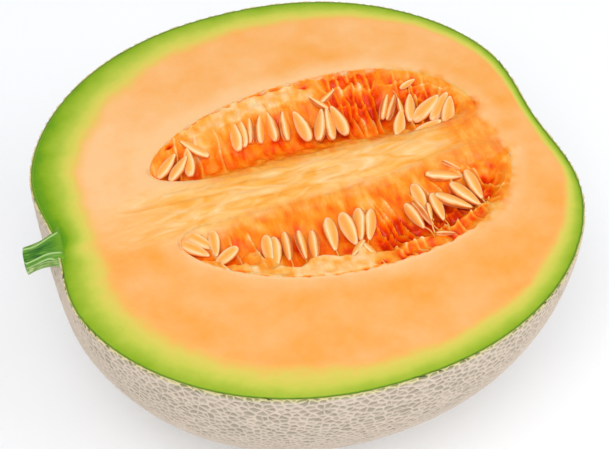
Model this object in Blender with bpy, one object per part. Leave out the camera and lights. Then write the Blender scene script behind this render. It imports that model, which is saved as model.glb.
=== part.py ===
"""Half of a netted orange-fleshed melon, cut from stem to blossom end, lying on its rind.

The fruit is a solid of revolution about X, with the stem at -X, and the cut face looks up.
It is modelled about the fruit's own centre, in metres, and an empty lifts it onto its resting spot.
"""

import math
import random

import bmesh
import bpy
from mathutils import Matrix, Vector

# The fruit: half length and half width of the swollen body, before the two poles dip in.
HALF_LENGTH = 0.0844
HALF_WIDTH = 0.0821
ROUNDNESS = 2.14  # 2 is an ellipse, more is squarer
STEM_DIMPLE_DEPTH = 0.0058
STEM_DIMPLE_RADIUS = 0.0203
BLOSSOM_DIMPLE_DEPTH = 0.0065
BLOSSOM_DIMPLE_RADIUS = 0.0256
REST_FLAT_DEPTH = 0.0012  # how far the underside is worn flat

# The raised net on the rind, with cells larger than life.
NET_CELLS = 740  # on a whole fruit
NET_JITTER = 0.34  # share of a cell's width
NET_CORD_HALF_WIDTH = 0.0013
NET_SHORTEST_CORD = 0.0030  # shorter ones close up into a knot
NET_HEIGHT = 0.0009
NET_DRAW = 11  # starts the random draws

# The two seed lobes and the sockets that they fill, one each side of the core.
LOBE_CENTRE_X = 0.0090
LOBE_CENTRE_Y = 0.0250
LOBE_HALF_LENGTH = 0.0530
LOBE_HALF_WIDTH = 0.0160
LOBE_DEPTH = 0.0140
LOBE_STEM_BEND_LEFT = 0.0068  # how far the tip at the stem end curves towards the core
LOBE_STEM_BEND_RIGHT = 0.0115
LOBE_BLOSSOM_BEND = 0.0122
LOBE_SWELL = 0.12  # share of its width gained towards the blossom end
LOBE_BLUNTNESS = 3.4  # of that end: 2 is an ellipse, more is squarer
LOBE_GAP = 0.0003  # between a lobe and its socket
SHELF_DEPTH = 0.0013  # how far the pulp beside the bowl lies below the cut face

# The bowl in a lobe's pulp, which lies on the core's side and leaves a shelf along the rim.
BOWL_SHIFT_Y = -0.0025
BOWL_HALF_LENGTH = 0.0495
BOWL_HALF_WIDTH = 0.0128
BOWL_DEPTH = 0.0062

# One seed, a little larger than life, with its root strand.
SEED_LENGTH = 0.0124
SEED_WIDTH = 0.0054
SEED_THICKNESS = 0.0026
SEED_TAPER = 0.28  # share of its width lost from middle to tip, and gained to the round end
SEED_ROUNDING = 0.16  # share of its width lost at both ends
SEED_DIP_LEFT = 18  # degrees that the round end hangs down
SEED_DIP_RIGHT = -8  # there it is propped up
SEED_STRAY = 0.0003  # the most that a seed strays from its even place
SEED_SWERVE = 4  # the same for its heading and roll, in degrees
SEED_DRAW = 5  # starts the random draws
ROOT_RADIUS = 0.0006
ROOT_LENGTH = 0.0050  # how far it reaches past the seed's tip
ROOT_DEPTH = 0.0024  # of its far end

# Seeds by group: first and last distance along the fruit, count, first and last distance from the
# core, depth, first and last heading in degrees, roll in degrees, and size as a share of a full one.
SEEDS_LEFT = (
    (-0.0380, -0.0350, 2, 0.0210, 0.0190, 0.0022, 50, 55, 10, 0.85),  # the fan at the stem end
    (-0.0310, -0.0275, 2, 0.0205, 0.0255, 0.0022, 10, -50, 15, 0.85),
    (-0.0135, -0.0115, 2, 0.0275, 0.0285, 0.0034, 5, 5, 25, 0.90),  # the row under the membrane
    (-0.0080, -0.0055, 2, 0.0285, 0.0280, 0.0036, 15, 15, 55, 0.85),
    (-0.0010, 0.0025, 2, 0.0280, 0.0265, 0.0036, 5, 10, 60, 0.90),
    (0.0080, 0.0135, 2, 0.0245, 0.0230, 0.0034, -10, 20, 40, 0.95),
    (0.0165, 0.0200, 2, 0.0225, 0.0230, 0.0036, 10, -5, 45, 1.00),
    (0.0155, 0.0195, 2, 0.0305, 0.0320, 0.0012, -40, 65, 30, 0.60),  # small ones that cross it
    (0.0355, 0.0380, 2, 0.0230, 0.0220, 0.0030, 35, 35, 65, 0.80),  # the heap at the blossom end
    (0.0370, 0.0430, 2, 0.0140, 0.0195, 0.0030, 30, 20, 20, 0.85),
    (0.0480, 0.0520, 2, 0.0175, 0.0165, 0.0026, 60, 50, 15, 1.00),
    (0.0435, 0.0540, 2, 0.0080, 0.0130, 0.0025, 80, 25, 15, 1.00),
    (0.0400, 0.0460, 2, 0.0205, 0.0290, 0.0016, 5, 85, 50, 0.50),  # stunted ones on it
)
SEEDS_RIGHT = (
    (-0.0405, -0.0380, 2, 0.0140, 0.0120, 0.0024, 45, 45, 10, 0.85),
    (-0.0340, -0.0325, 2, 0.0145, 0.0205, 0.0022, -10, -70, 15, 0.80),
    (-0.0200, -0.0185, 2, 0.0220, 0.0235, 0.0028, -10, -15, 20, 0.90),
    (-0.0140, -0.0065, 3, 0.0220, 0.0250, 0.0028, -10, -10, 55, 0.85),
    (-0.0005, 0.0055, 2, 0.0225, 0.0225, 0.0027, -10, 0, 30, 1.00),
    (0.0090, 0.0120, 2, 0.0220, 0.0230, 0.0028, -20, -25, 40, 0.95),
    (0.0045, 0.0075, 2, 0.0320, 0.0340, 0.0012, -50, 25, 30, 0.60),
    (0.0260, 0.0285, 2, 0.0245, 0.0245, 0.0026, 10, 15, 65, 0.85),
    (0.0305, 0.0335, 2, 0.0180, 0.0235, 0.0026, 0, 0, 20, 0.85),
    (0.0390, 0.0440, 2, 0.0230, 0.0220, 0.0026, 50, 25, 15, 1.00),
    (0.0405, 0.0475, 2, 0.0125, 0.0190, 0.0024, 75, 0, 15, 1.00),
    (0.0305, 0.0445, 2, 0.0250, 0.0100, 0.0016, -15, 40, 50, 0.50),
    (0.0310, 0.0310, 1, 0.0350, 0.0350, 0.0014, 80, 80, 40, 0.50),
)

# Ribs of pulp by group: first and last distance along the fruit, and count.
RIBS_LEFT = ((-0.0340, -0.0200, 3), (0.0225, 0.0335, 5), (0.0425, 0.0545, 4))
RIBS_RIGHT = ((-0.0350, -0.0230, 3), (0.0150, 0.0225, 4), (0.0310, 0.0530, 6))
RIB_RADIUS = 0.0008
RIB_RISE = 0.0002  # of its middle line above the floor that it runs on
RIB_LEAN_LEAST = -0.0010  # how far its outer end lies towards the blossom end
RIB_LEAN_MOST = 0.0020
RIB_STOPS = (0.95, 0.50, 0.05, -0.45, -0.90)  # across the lobe, as shares of its half width

# The stub of stem, halved with the fruit.
STEM_LENGTH = 0.0092
STEM_RADIUS = 0.0040
STEM_BASE_RADIUS = 0.0088
STEM_TIP_SWELL = 0.10  # share of the radius
STEM_RIBS = 5
STEM_RIB_HEIGHT = 0.11  # share of the radius
STEM_RINGS = 6
STEM_DROOP = 0.0022  # how far its tip lies to the right
STEM_ROOT = 0.0040  # how far it is drawn into the fruit, before its base is cut to fit

BIG = 0.4  # side of the blocks that cut whole halves away
TOUCHING = 1e-6  # points nearer than this are one


def clear_scene():
    for item in list(bpy.data.objects):
        bpy.data.objects.remove(item)


def new_collection(name):
    made = bpy.data.collections.new(name)
    bpy.context.scene.collection.children.link(made)
    return made


def turn_faces_out(bm):
    bm.normal_update()
    bmesh.ops.recalc_face_normals(bm, faces=bm.faces)


def new_object(name, bm, collection, material=None):
    turn_faces_out(bm)
    mesh = bpy.data.meshes.new(name)
    bm.to_mesh(mesh)
    bm.free()
    if material:
        mesh.materials.append(material)
    made = bpy.data.objects.new(name, mesh)
    collection.objects.link(made)
    return made


def as_cutter(item):
    item.hide_render = True
    item.display_type = "WIRE"
    return item


def new_material(name, colour, roughness):
    made = bpy.data.materials.new(name)
    made.use_nodes = True
    shader = made.node_tree.nodes["Principled BSDF"]
    shader.inputs["Base Color"].default_value = (*colour, 1.0)
    shader.inputs["Roughness"].default_value = roughness
    shader.inputs["Metallic"].default_value = 0.0
    return made


def add_boolean(item, operation, cutter=None, collection=None, solver="EXACT"):
    """A Boolean whose cut faces take the cutter's material, where it has one."""
    modifier = item.modifiers.new(operation.lower(), "BOOLEAN")
    modifier.operation = operation
    modifier.solver = solver
    modifier.material_mode = "TRANSFER" if solver == "EXACT" else "INDEX"
    if collection:
        modifier.operand_type = "COLLECTION"
        modifier.collection = collection
    else:
        modifier.object = cutter
    return modifier


def apply_modifiers(item):
    """The object's mesh becomes what its modifiers make of it."""
    graph = bpy.context.evaluated_depsgraph_get()
    made = bpy.data.meshes.new_from_object(item.evaluated_get(graph))
    item.modifiers.clear()
    item.data = made


def keep_outer_body(item):
    """Drops the scraps and sealed hollows that fusing leaves: what shares no corner with the body."""
    bm = bmesh.new()
    bm.from_mesh(item.data)
    left = set(bm.verts)
    bodies = []
    while left:
        body = {left.pop()}
        edge_of_body = list(body)
        while edge_of_body:
            vertex = edge_of_body.pop()
            reached = {edge.other_vert(vertex) for edge in vertex.link_edges} & left
            left -= reached
            body |= reached
            edge_of_body.extend(reached)
        bodies.append(body)
    bodies.sort(key=len)
    dropped = [vertex for body in bodies[:-1] for vertex in body]
    bmesh.ops.delete(bm, geom=dropped, context="VERTS")
    bm.to_mesh(item.data)
    bm.free()


def block(name, collection, z_low, z_high, material=None):
    """A wide block between two heights, for cutting a half away."""
    bm = bmesh.new()
    bmesh.ops.create_cube(bm, size=1.0)
    bmesh.ops.scale(bm, verts=bm.verts, vec=(BIG, BIG, z_high - z_low))
    bmesh.ops.translate(bm, verts=bm.verts, vec=(0, 0, (z_low + z_high) / 2))
    return as_cutter(new_object(name, bm, collection, material))


def fruit_point(direction, outward=0.0):
    """The rind in a direction from the centre: a superellipse turned about X, dimpled at its poles."""
    along = direction.x
    across = math.hypot(direction.y, direction.z)
    power = 2.0 / ROUNDNESS
    x = (HALF_LENGTH + outward) * math.copysign(abs(along) ** power, along)
    radius = (HALF_WIDTH + outward) * across**power
    if along < 0:
        x += STEM_DIMPLE_DEPTH * math.exp(-((radius / STEM_DIMPLE_RADIUS) ** 2))
    else:
        x -= BLOSSOM_DIMPLE_DEPTH * math.exp(-((radius / BLOSSOM_DIMPLE_RADIUS) ** 2))
    if across < TOUCHING:
        return Vector((x, 0.0, 0.0))
    return Vector((x, radius * direction.y / across, radius * direction.z / across))


def net_centres():
    """Directions spread evenly round the fruit in a spiral, each moved a little."""
    draw = random.Random(NET_DRAW)
    golden = math.pi * (3.0 - math.sqrt(5.0))
    step = math.sqrt(4.0 * math.pi / NET_CELLS) * NET_JITTER
    for i in range(NET_CELLS):
        x = 1.0 - (2 * i + 1) / NET_CELLS
        ring = math.sqrt(1.0 - x * x)
        point = Vector((x, ring * math.cos(i * golden), ring * math.sin(i * golden)))
        shift = Vector([draw.uniform(-step, step) for _ in range(3)])
        yield (point + shift).normalized()


def dual_mesh_group():
    """A node group that turns each corner of a triangle mesh into a cell."""
    group = bpy.data.node_groups.new("cells_round_points", "GeometryNodeTree")
    group.interface.new_socket("Mesh", in_out="INPUT", socket_type="NodeSocketGeometry")
    group.interface.new_socket("Mesh", in_out="OUTPUT", socket_type="NodeSocketGeometry")
    start = group.nodes.new("NodeGroupInput")
    dual = group.nodes.new("GeometryNodeDualMesh")
    end = group.nodes.new("NodeGroupOutput")
    group.links.new(start.outputs[0], dual.inputs[0])
    group.links.new(dual.outputs[0], end.inputs[0])
    return group


def make_netted_fruit(collection, material):
    """The whole fruit: cells sunk between the cords of a net, which stand at the rind's own surface."""
    bm = bmesh.new()
    for centre in net_centres():
        bm.verts.new(centre)
    bmesh.ops.convex_hull(bm, input=bm.verts)
    fruit = new_object("fruit_half", bm, collection, material)
    cells = fruit.modifiers.new("cells", "NODES")
    cells.node_group = dual_mesh_group()
    apply_modifiers(fruit)

    bm = bmesh.new()
    bm.from_mesh(fruit.data)
    for vertex in bm.verts:
        vertex.co = fruit_point(vertex.co.normalized())
    bmesh.ops.remove_doubles(bm, verts=bm.verts, dist=NET_SHORTEST_CORD)
    turn_faces_out(bm)
    bmesh.ops.inset_individual(
        bm, faces=list(bm.faces), thickness=NET_CORD_HALF_WIDTH, depth=-NET_HEIGHT
    )
    bmesh.ops.triangulate(bm, faces=list(bm.faces))
    bm.to_mesh(fruit.data)
    bm.free()
    return fruit


def lobe_middle(along, side):
    """How far a lobe's middle line lies from the core, at a share of the way to one of its tips."""
    stem_bend = LOBE_STEM_BEND_LEFT if side > 0 else LOBE_STEM_BEND_RIGHT
    bend = stem_bend + (LOBE_BLOSSOM_BEND - stem_bend) * max(along, 0.0)
    return LOBE_CENTRE_Y - bend * along**2


def lobe_swell(along):
    """How much wider than an ellipse a lobe is, at a share of the way to one of its tips."""
    along = min(max(along, 0.0), 0.999)
    blunt = (1.0 - along**LOBE_BLUNTNESS) / (1.0 - along**2)
    return (1.0 + LOBE_SWELL * along) * math.sqrt(blunt)


def lobe_ellipsoid(name, collection, side, grow, half_length, half_width, depth, shift_y=0.0):
    """An ellipsoid centred on the cut plane, with its two tips curved towards the core."""
    bm = bmesh.new()
    bmesh.ops.create_uvsphere(bm, u_segments=12, v_segments=22, radius=1.0)
    turn_pole_to_x = Matrix.Rotation(math.radians(90), 3, "Y")
    for vertex in bm.verts:
        point = turn_pole_to_x @ vertex.co
        swell = lobe_swell(point.x)
        vertex.co = Vector((
            LOBE_CENTRE_X + point.x * (half_length + grow),
            side * (lobe_middle(point.x, side) + shift_y) + point.y * swell * (half_width + grow),
            point.z * swell * (depth + grow),
        ))
    return new_object(name, bm, collection)


def socket_shape(name, collection, side, grow):
    return lobe_ellipsoid(
        name, collection, side, grow, LOBE_HALF_LENGTH, LOBE_HALF_WIDTH, LOBE_DEPTH
    )


def bowl_shape(name, collection, side):
    return lobe_ellipsoid(
        name, collection, side, 0.0, BOWL_HALF_LENGTH, BOWL_HALF_WIDTH, BOWL_DEPTH, BOWL_SHIFT_Y
    )


def pulp_depth(x, y, side):
    """Depth of the pulp below the cut face at a distance along the fruit and from the core."""
    along = (x - LOBE_CENTRE_X) / BOWL_HALF_LENGTH
    swell = lobe_swell(along)
    across = (y - lobe_middle(along, side) - BOWL_SHIFT_Y) / (BOWL_HALF_WIDTH * swell)
    inside = max(0.0, 1.0 - along**2 - across**2)
    return max(SHELF_DEPTH, BOWL_DEPTH * swell * math.sqrt(inside))


def make_fruit_half(collection, cutters, rind, flesh):
    """The lower half, with a socket for each seed lobe and a worn spot that it rests on."""
    fruit = make_netted_fruit(collection, rind)
    block("upper_half", cutters, 0.0, BIG / 2, flesh)
    block("worn_underside", cutters, -BIG / 2, REST_FLAT_DEPTH - HALF_WIDTH)
    for side, word in ((1, "left"), (-1, "right")):
        socket = as_cutter(socket_shape(f"socket_{word}", cutters, side, 0.0))
        socket.data.materials.append(flesh)
    add_boolean(fruit, "DIFFERENCE", collection=cutters)
    return fruit


def spread(first, last, count):
    """Evenly spaced values from first to last."""
    if count == 1:
        return [first]
    return [first + (last - first) * i / (count - 1) for i in range(count)]


def seed_places(side):
    """Where each seed of a lobe lies, as (middle, heading, dip, roll, size).

    Heading 0 points the tip straight out at the rim, and a positive one turns it to the blossom
    end. Dip lowers the round end, and roll tips the seed onto its edge.
    """
    draw = random.Random(SEED_DRAW)
    groups, dip = (SEEDS_LEFT, SEED_DIP_LEFT) if side > 0 else (SEEDS_RIGHT, SEED_DIP_RIGHT)
    for first, last, count, near, far, depth, start, end, roll, size in groups:
        stations = spread(first, last, count)
        offsets = spread(near, far, count)
        headings = spread(start, end, count)
        for station, offset, heading in zip(stations, offsets, headings):
            x = station + draw.uniform(-SEED_STRAY, SEED_STRAY)
            y = side * (offset + draw.uniform(-SEED_STRAY, SEED_STRAY))
            middle = Vector((x, y, -depth))
            heading = math.radians(heading + draw.uniform(-SEED_SWERVE, SEED_SWERVE))
            turn = math.radians(roll * draw.choice((-1, 1)) + draw.uniform(-SEED_SWERVE, SEED_SWERVE))
            yield middle, heading, math.radians(dip), turn, size


def make_seed(name, collection, side, middle, heading, dip, roll, size):
    """A flattened drop, drawn to a point at its outer end."""
    bm = bmesh.new()
    bmesh.ops.create_uvsphere(bm, u_segments=6, v_segments=5, radius=1.0)
    turn_pole_to_y = Matrix.Rotation(math.radians(-90), 3, "X")
    place = (
        Matrix.Rotation(-side * heading, 3, "Z")
        @ Matrix.Rotation(side * dip, 3, "X")
        @ Matrix.Rotation(roll, 3, "Y")
    )
    for vertex in bm.verts:
        point = turn_pole_to_y @ vertex.co
        taper = 1.0 - SEED_TAPER * point.y - SEED_ROUNDING * point.y**2
        local = Vector((
            point.x * taper * SEED_WIDTH / 2,
            side * point.y * SEED_LENGTH / 2,
            point.z * taper * SEED_THICKNESS / 2,
        ))
        vertex.co = middle + place @ (local * size)
    return new_object(name, bm, collection)


def make_strand(name, collection, points, radius):
    """A tube through the points, made a mesh with its caps welded on."""
    curve = bpy.data.curves.new(name, "CURVE")
    curve.dimensions = "3D"
    curve.bevel_depth = radius
    curve.bevel_resolution = 0
    curve.use_fill_caps = True
    spline = curve.splines.new("POLY")
    spline.points.add(len(points) - 1)
    for target, point in zip(spline.points, points):
        target.co = (*point, 1.0)
    tube = bpy.data.objects.new(name, curve)
    bpy.context.scene.collection.objects.link(tube)
    graph = bpy.context.evaluated_depsgraph_get()
    mesh = bpy.data.meshes.new_from_object(tube.evaluated_get(graph))
    bm = bmesh.new()
    bm.from_mesh(mesh)
    bmesh.ops.remove_doubles(bm, verts=bm.verts, dist=TOUCHING)
    bpy.data.objects.remove(tube)
    return new_object(name, bm, collection)


def make_seeds(name, collection, side):
    """Each seed, and the strand that roots it in the pulp, as objects for the lobe's union."""
    for i, (middle, heading, dip, roll, size) in enumerate(seed_places(side)):
        make_seed(f"{name}_seed_{i:02d}", collection, side, middle, heading, dip, roll, size)
        pointing = Vector((math.sin(heading), side * math.cos(heading), 0.0))
        length = SEED_LENGTH * size
        near_end = middle + pointing * length / 3
        near_end.z += length / 3 * math.sin(dip)
        far_end = middle + pointing * (length / 2 + ROOT_LENGTH)
        far_end.z = -ROOT_DEPTH
        make_strand(f"{name}_root_{i:02d}", collection, [near_end, far_end], ROOT_RADIUS)


def make_ribs(name, collection, side):
    """Ribs of pulp that run from the shelf across the bowl's floor to the core, larger than life."""
    draw = random.Random(SEED_DRAW + 1)
    groups = RIBS_LEFT if side > 0 else RIBS_RIGHT
    stations = [x for first, last, count in groups for x in spread(first, last, count)]
    for i, station in enumerate(stations):
        lean = draw.uniform(RIB_LEAN_LEAST, RIB_LEAN_MOST)
        along = (station - LOBE_CENTRE_X) / LOBE_HALF_LENGTH
        half_width = LOBE_HALF_WIDTH * lobe_swell(along) * math.sqrt(1 - along**2)
        path = []
        for share in RIB_STOPS:
            x = station + lean * share
            y = lobe_middle(along, side) + share * half_width
            path.append(Vector((x, side * y, RIB_RISE - pulp_depth(x, y, side))))
        make_strand(f"{name}_rib_{i:02d}", collection, path, RIB_RADIUS)


def make_lobe(name, collection, cutters, material, side):
    """One seed lobe: a bed of pulp with a bowl in it, and the seeds and strands that grow out of it."""
    lobe = socket_shape(name, collection, side, -LOBE_GAP)
    lobe.data.materials.append(material)
    top = block(f"{name}_top", cutters, -SHELF_DEPTH, BIG / 2)
    bowl = as_cutter(bowl_shape(f"{name}_bowl", cutters, side))
    add_boolean(lobe, "DIFFERENCE", cutter=top)
    add_boolean(lobe, "DIFFERENCE", cutter=bowl)
    grown = new_collection(f"{name}_grown")
    make_seeds(name, grown, side)
    make_ribs(name, grown, side)
    add_boolean(lobe, "UNION", collection=grown)
    room = as_cutter(socket_shape(f"{name}_room", cutters, side, -LOBE_GAP))
    above = block(f"{name}_above", cutters, -LOBE_GAP, BIG / 2)
    add_boolean(lobe, "INTERSECT", cutter=room, solver="MANIFOLD")
    add_boolean(lobe, "DIFFERENCE", cutter=above, solver="MANIFOLD")
    apply_modifiers(lobe)
    keep_outer_body(lobe)
    for item in [*grown.objects, top, bowl, room, above]:
        bpy.data.objects.remove(item)
    bpy.data.collections.remove(grown)
    return lobe


def make_stem(collection, cutters, material):
    """A ribbed stub that flares into the dimple, halved by the same cut as the fruit."""
    base = HALF_LENGTH - STEM_DIMPLE_DEPTH - STEM_ROOT
    length = STEM_LENGTH + STEM_ROOT
    bm = bmesh.new()
    bmesh.ops.create_cone(
        bm, cap_ends=True, segments=20, radius1=1.0, radius2=1.0, depth=length
    )
    bmesh.ops.translate(bm, verts=bm.verts, vec=(0, 0, length / 2))
    for i in range(1, STEM_RINGS):
        bmesh.ops.bisect_plane(
            bm, geom=bm.verts[:] + bm.edges[:] + bm.faces[:],
            plane_co=(0, 0, length * i / STEM_RINGS), plane_no=(0, 0, 1),
        )
    for vertex in bm.verts:
        share = vertex.co.z / length
        angle = math.atan2(vertex.co.y, vertex.co.x)
        flare = STEM_RADIUS + (STEM_BASE_RADIUS - STEM_RADIUS) * (1 - share) ** 3
        swell = 1 + STEM_TIP_SWELL * share**4
        radius = flare * swell * (1 + STEM_RIB_HEIGHT * math.cos(STEM_RIBS * angle))
        vertex.co = Vector((
            -base - vertex.co.z,
            radius * math.cos(angle) - STEM_DROOP * share,
            radius * math.sin(angle),
        ))
    stem = new_object("stem_stub", bm, collection, material)

    bm = bmesh.new()
    bmesh.ops.create_uvsphere(bm, u_segments=64, v_segments=48, radius=1.0)
    turn_pole_to_x = Matrix.Rotation(math.radians(90), 3, "Y")
    for vertex in bm.verts:
        vertex.co = fruit_point((turn_pole_to_x @ vertex.co).normalized(), LOBE_GAP)
    body = as_cutter(new_object("fruit_clearance", bm, cutters))
    above = block("stem_above", cutters, 0.0, BIG / 2)
    add_boolean(stem, "DIFFERENCE", cutter=body)
    add_boolean(stem, "DIFFERENCE", cutter=above)
    apply_modifiers(stem)
    for item in (body, above):
        bpy.data.objects.remove(item)
    return stem


def main():
    clear_scene()
    melon = new_collection("netted_melon_half")
    fruit_cutters = new_collection("fruit_cutters")
    other_cutters = new_collection("other_cutters")
    rind = new_material("netted_rind", (0.54, 0.44, 0.32), 0.80)
    flesh = new_material("melon_flesh", (0.98, 0.50, 0.16), 0.45)
    pulp = new_material("seed_pulp", (0.95, 0.42, 0.10), 0.35)
    green = new_material("stem_green", (0.20, 0.36, 0.08), 0.60)

    nodes = [
        make_stem(melon, other_cutters, green),
        make_lobe("seed_lobe_left", melon, other_cutters, pulp, 1),
        make_lobe("seed_lobe_right", melon, other_cutters, pulp, -1),
        make_fruit_half(melon, fruit_cutters, rind, flesh),
    ]
    centre = bpy.data.objects.new("fruit_centre", None)
    centre.location = (0.0, 0.0, HALF_WIDTH - REST_FLAT_DEPTH)
    melon.objects.link(centre)
    for item in [*nodes, *fruit_cutters.objects]:
        item.parent = centre


main()
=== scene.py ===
"""Half of a netted orange-fleshed melon on a pale floor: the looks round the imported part."""

import math
import random
from functools import partial

import bmesh
import bpy
import numpy as np
from mathutils import Matrix, Vector
from mathutils.geometry import delaunay_2d_cdt
from mathutils.kdtree import KDTree


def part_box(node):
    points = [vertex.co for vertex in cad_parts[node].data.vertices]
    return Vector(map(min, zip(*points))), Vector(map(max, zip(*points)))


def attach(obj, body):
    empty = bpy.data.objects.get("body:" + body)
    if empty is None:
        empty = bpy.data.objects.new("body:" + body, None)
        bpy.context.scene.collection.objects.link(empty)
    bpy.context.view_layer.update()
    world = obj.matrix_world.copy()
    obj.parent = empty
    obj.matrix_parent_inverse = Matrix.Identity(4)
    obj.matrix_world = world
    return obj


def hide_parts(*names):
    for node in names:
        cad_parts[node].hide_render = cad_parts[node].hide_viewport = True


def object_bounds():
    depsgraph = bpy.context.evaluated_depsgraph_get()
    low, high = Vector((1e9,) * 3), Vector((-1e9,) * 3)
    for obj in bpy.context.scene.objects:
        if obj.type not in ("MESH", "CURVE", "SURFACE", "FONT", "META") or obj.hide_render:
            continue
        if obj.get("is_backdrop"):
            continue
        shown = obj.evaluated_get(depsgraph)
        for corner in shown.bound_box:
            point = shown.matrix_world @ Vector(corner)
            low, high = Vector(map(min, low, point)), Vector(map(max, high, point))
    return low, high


bl_info = {
    "name": "Netted melon half",
    "version": (1, 0, 0),
    "blender": (4, 5, 0),
    "location": "View3D > Sidebar > Melon",
    "description": "Builds the rind, flesh, pulp, seeds and stem of a cut netted melon",
    "category": "Add Mesh",
}

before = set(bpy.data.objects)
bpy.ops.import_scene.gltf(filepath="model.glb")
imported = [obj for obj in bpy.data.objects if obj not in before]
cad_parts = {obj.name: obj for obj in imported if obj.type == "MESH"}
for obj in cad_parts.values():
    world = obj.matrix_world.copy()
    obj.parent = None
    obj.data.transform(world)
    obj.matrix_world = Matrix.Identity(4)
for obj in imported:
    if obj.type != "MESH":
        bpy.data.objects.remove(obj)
CAD_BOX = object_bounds()
CUT_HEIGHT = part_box("fruit_half")[1].z

# The fruit, from the part's source. All lengths are in metres, about the fruit's own centre.
HALF_LENGTH = 0.0844
HALF_WIDTH = 0.0821
ROUNDNESS = 2.14
STEM_DIMPLE_DEPTH = 0.0058
STEM_DIMPLE_RADIUS = 0.0203
BLOSSOM_DIMPLE_DEPTH = 0.0065
BLOSSOM_DIMPLE_RADIUS = 0.0256

LOBE_CENTRE_X = 0.0090
LOBE_CENTRE_Y = 0.0250
LOBE_HALF_LENGTH = 0.0530
LOBE_HALF_WIDTH = 0.0160
LOBE_DEPTH = 0.0140
LOBE_STEM_BEND_LEFT = 0.0068
LOBE_STEM_BEND_RIGHT = 0.0115
LOBE_BLOSSOM_BEND = 0.0122
LOBE_SWELL = 0.12
LOBE_BLUNTNESS = 3.4
SHELF_DEPTH = 0.0013
BOWL_DEPTH = 0.0062
CORE_SINK = 0.55  # in mm

SEED_LENGTH = 0.0124
SEED_WIDTH = 0.0054
SEED_THICKNESS = 0.0026
SLIMNESS = 0.90  # share of that width that a real seed has, since the part's are drawn larger
SEED_TAPER = 0.28
SEED_ROUNDING = 0.16
SEED_DIP_LEFT = 18
SEED_DIP_RIGHT = -8
SEED_STRAY = 0.0003
SEED_SWERVE = 4
SEED_DRAW = 5
ROOT_LENGTH = 0.0050
ROW_HEADING = 0.45  # radians: seeds turned further than this lie over their own roots
ROOT_DEPTH = 0.0024

# Rows of seeds, in mm: first and last place along the fruit, how many, distance from the core at the
# first and last, depth; then their headings and roll in degrees, and size as a share of a full one.
SEEDS_LEFT = (
    (-38, -35, 2, 21, 19, 2.2, 50, 55, 10, 0.85),  # the fan at the stem end
    (-31, -27.5, 2, 20.5, 25.5, 2.2, 10, -50, 15, 0.85),
    (-13.5, -11.5, 2, 27.5, 28.5, 3.4, 5, 5, 25, 0.9),  # the row under the membrane
    (-8, -5.5, 2, 28.5, 28, 3.6, 15, 15, 55, 0.85),
    (-1, 2.5, 2, 28, 26.5, 3.6, 5, 10, 60, 0.9),
    (8, 13.5, 2, 24.5, 23, 3.4, -10, 20, 40, 0.95),
    (16.5, 20, 2, 22.5, 23, 3.6, 10, -5, 45, 1),
    (15.5, 19.5, 2, 30.5, 32, 1.2, -40, 65, 30, 0.6),  # small ones that cross it
    (35.5, 38, 2, 23, 22, 3, 35, 35, 65, 0.8),  # the heap at the blossom end
    (37, 43, 2, 14, 19.5, 3, 30, 20, 20, 0.85),
    (48, 52, 2, 17.5, 16.5, 2.6, 60, 50, 15, 1),
    (43.5, 54, 2, 8, 13, 2.5, 80, 25, 15, 1),
    (40, 46, 2, 20.5, 29, 1.6, 5, 85, 50, 0.5),  # stunted ones on it
)
SEEDS_RIGHT = (
    (-40.5, -38, 2, 14, 12, 2.4, 45, 45, 10, 0.85),
    (-34, -32.5, 2, 14.5, 20.5, 2.2, -10, -70, 15, 0.8),
    (-20, -18.5, 2, 22, 23.5, 2.8, -10, -15, 20, 0.9),
    (-14, -6.5, 3, 22, 25, 2.8, -10, -10, 55, 0.85),
    (-0.5, 5.5, 2, 22.5, 22.5, 2.7, -10, 0, 30, 1),
    (9, 12, 2, 22, 23, 2.8, -20, -25, 40, 0.95),
    (4.5, 7.5, 2, 32, 34, 1.2, -50, 25, 30, 0.6),
    (26, 28.5, 2, 24.5, 24.5, 2.6, 10, 15, 65, 0.85),
    (30.5, 33.5, 2, 18, 23.5, 2.6, 0, 0, 20, 0.85),
    (39, 44, 2, 23, 22, 2.6, 50, 25, 15, 1),
    (40.5, 47.5, 2, 12.5, 19, 2.4, 75, 0, 15, 1),
    (30.5, 44.5, 2, 25, 10, 1.6, -15, 40, 50, 0.5),
    (31, 31, 1, 35, 35, 1.4, 80, 80, 40, 0.5),
)
# Rows of ribs: first and last place along the fruit in mm, and how many.
RIBS_LEFT = ((-34, -20, 3), (22.5, 33.5, 5), (42.5, 54.5, 4))
RIBS_RIGHT = ((-35, -23, 3), (15, 22.5, 4), (31, 53, 6))
RIB_LEAN_LEAST = -0.0010
RIB_LEAN_MOST = 0.0020
RIB_SLANT = {1: 0.6, -1: 4.0}  # millimetres towards the blossom end, from core to rim, by side
# The larger pockets at the rim by side: distance along the fruit in mm, across the lobe, size in mm.
RIM_POCKETS = {
    1: ((-0.5, 0.95, 1.7), (13.6, 0.84, 2.0), (5.6, 0.96, 1.6), (-35.0, 0.80, 1.6)),
    -1: ((-13.5, 0.95, 1.4), (9.8, 0.84, 2.0), (2.0, 0.96, 1.5), (-30.5, 0.86, 1.5)),
}

STEM_LENGTH = 0.0092
STEM_RADIUS = 0.0040
STEM_BASE_RADIUS = 0.0088
STEM_TIP_SWELL = 0.10
STEM_RIBS = 5
STEM_RIB_HEIGHT = 0.11
STEM_DROOP = 0.0022
STEM_ROOT = 0.0040

# How wide the green layer is round the cut, in degrees from the blossom end and millimetres.
GREEN_WIDTHS = (
    (0, 2.8), (20, 3.3), (45, 5.6), (72, 9.4), (90, 10.6), (122, 13.6), (140, 15.0), (160, 14.2),
    (172, 12.6), (184, 12.2), (200, 13.6), (225, 12.6), (250, 10.3), (270, 8.8), (315, 7.0),
    (330, 5.0), (345, 3.6), (360, 2.8),
)
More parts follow.
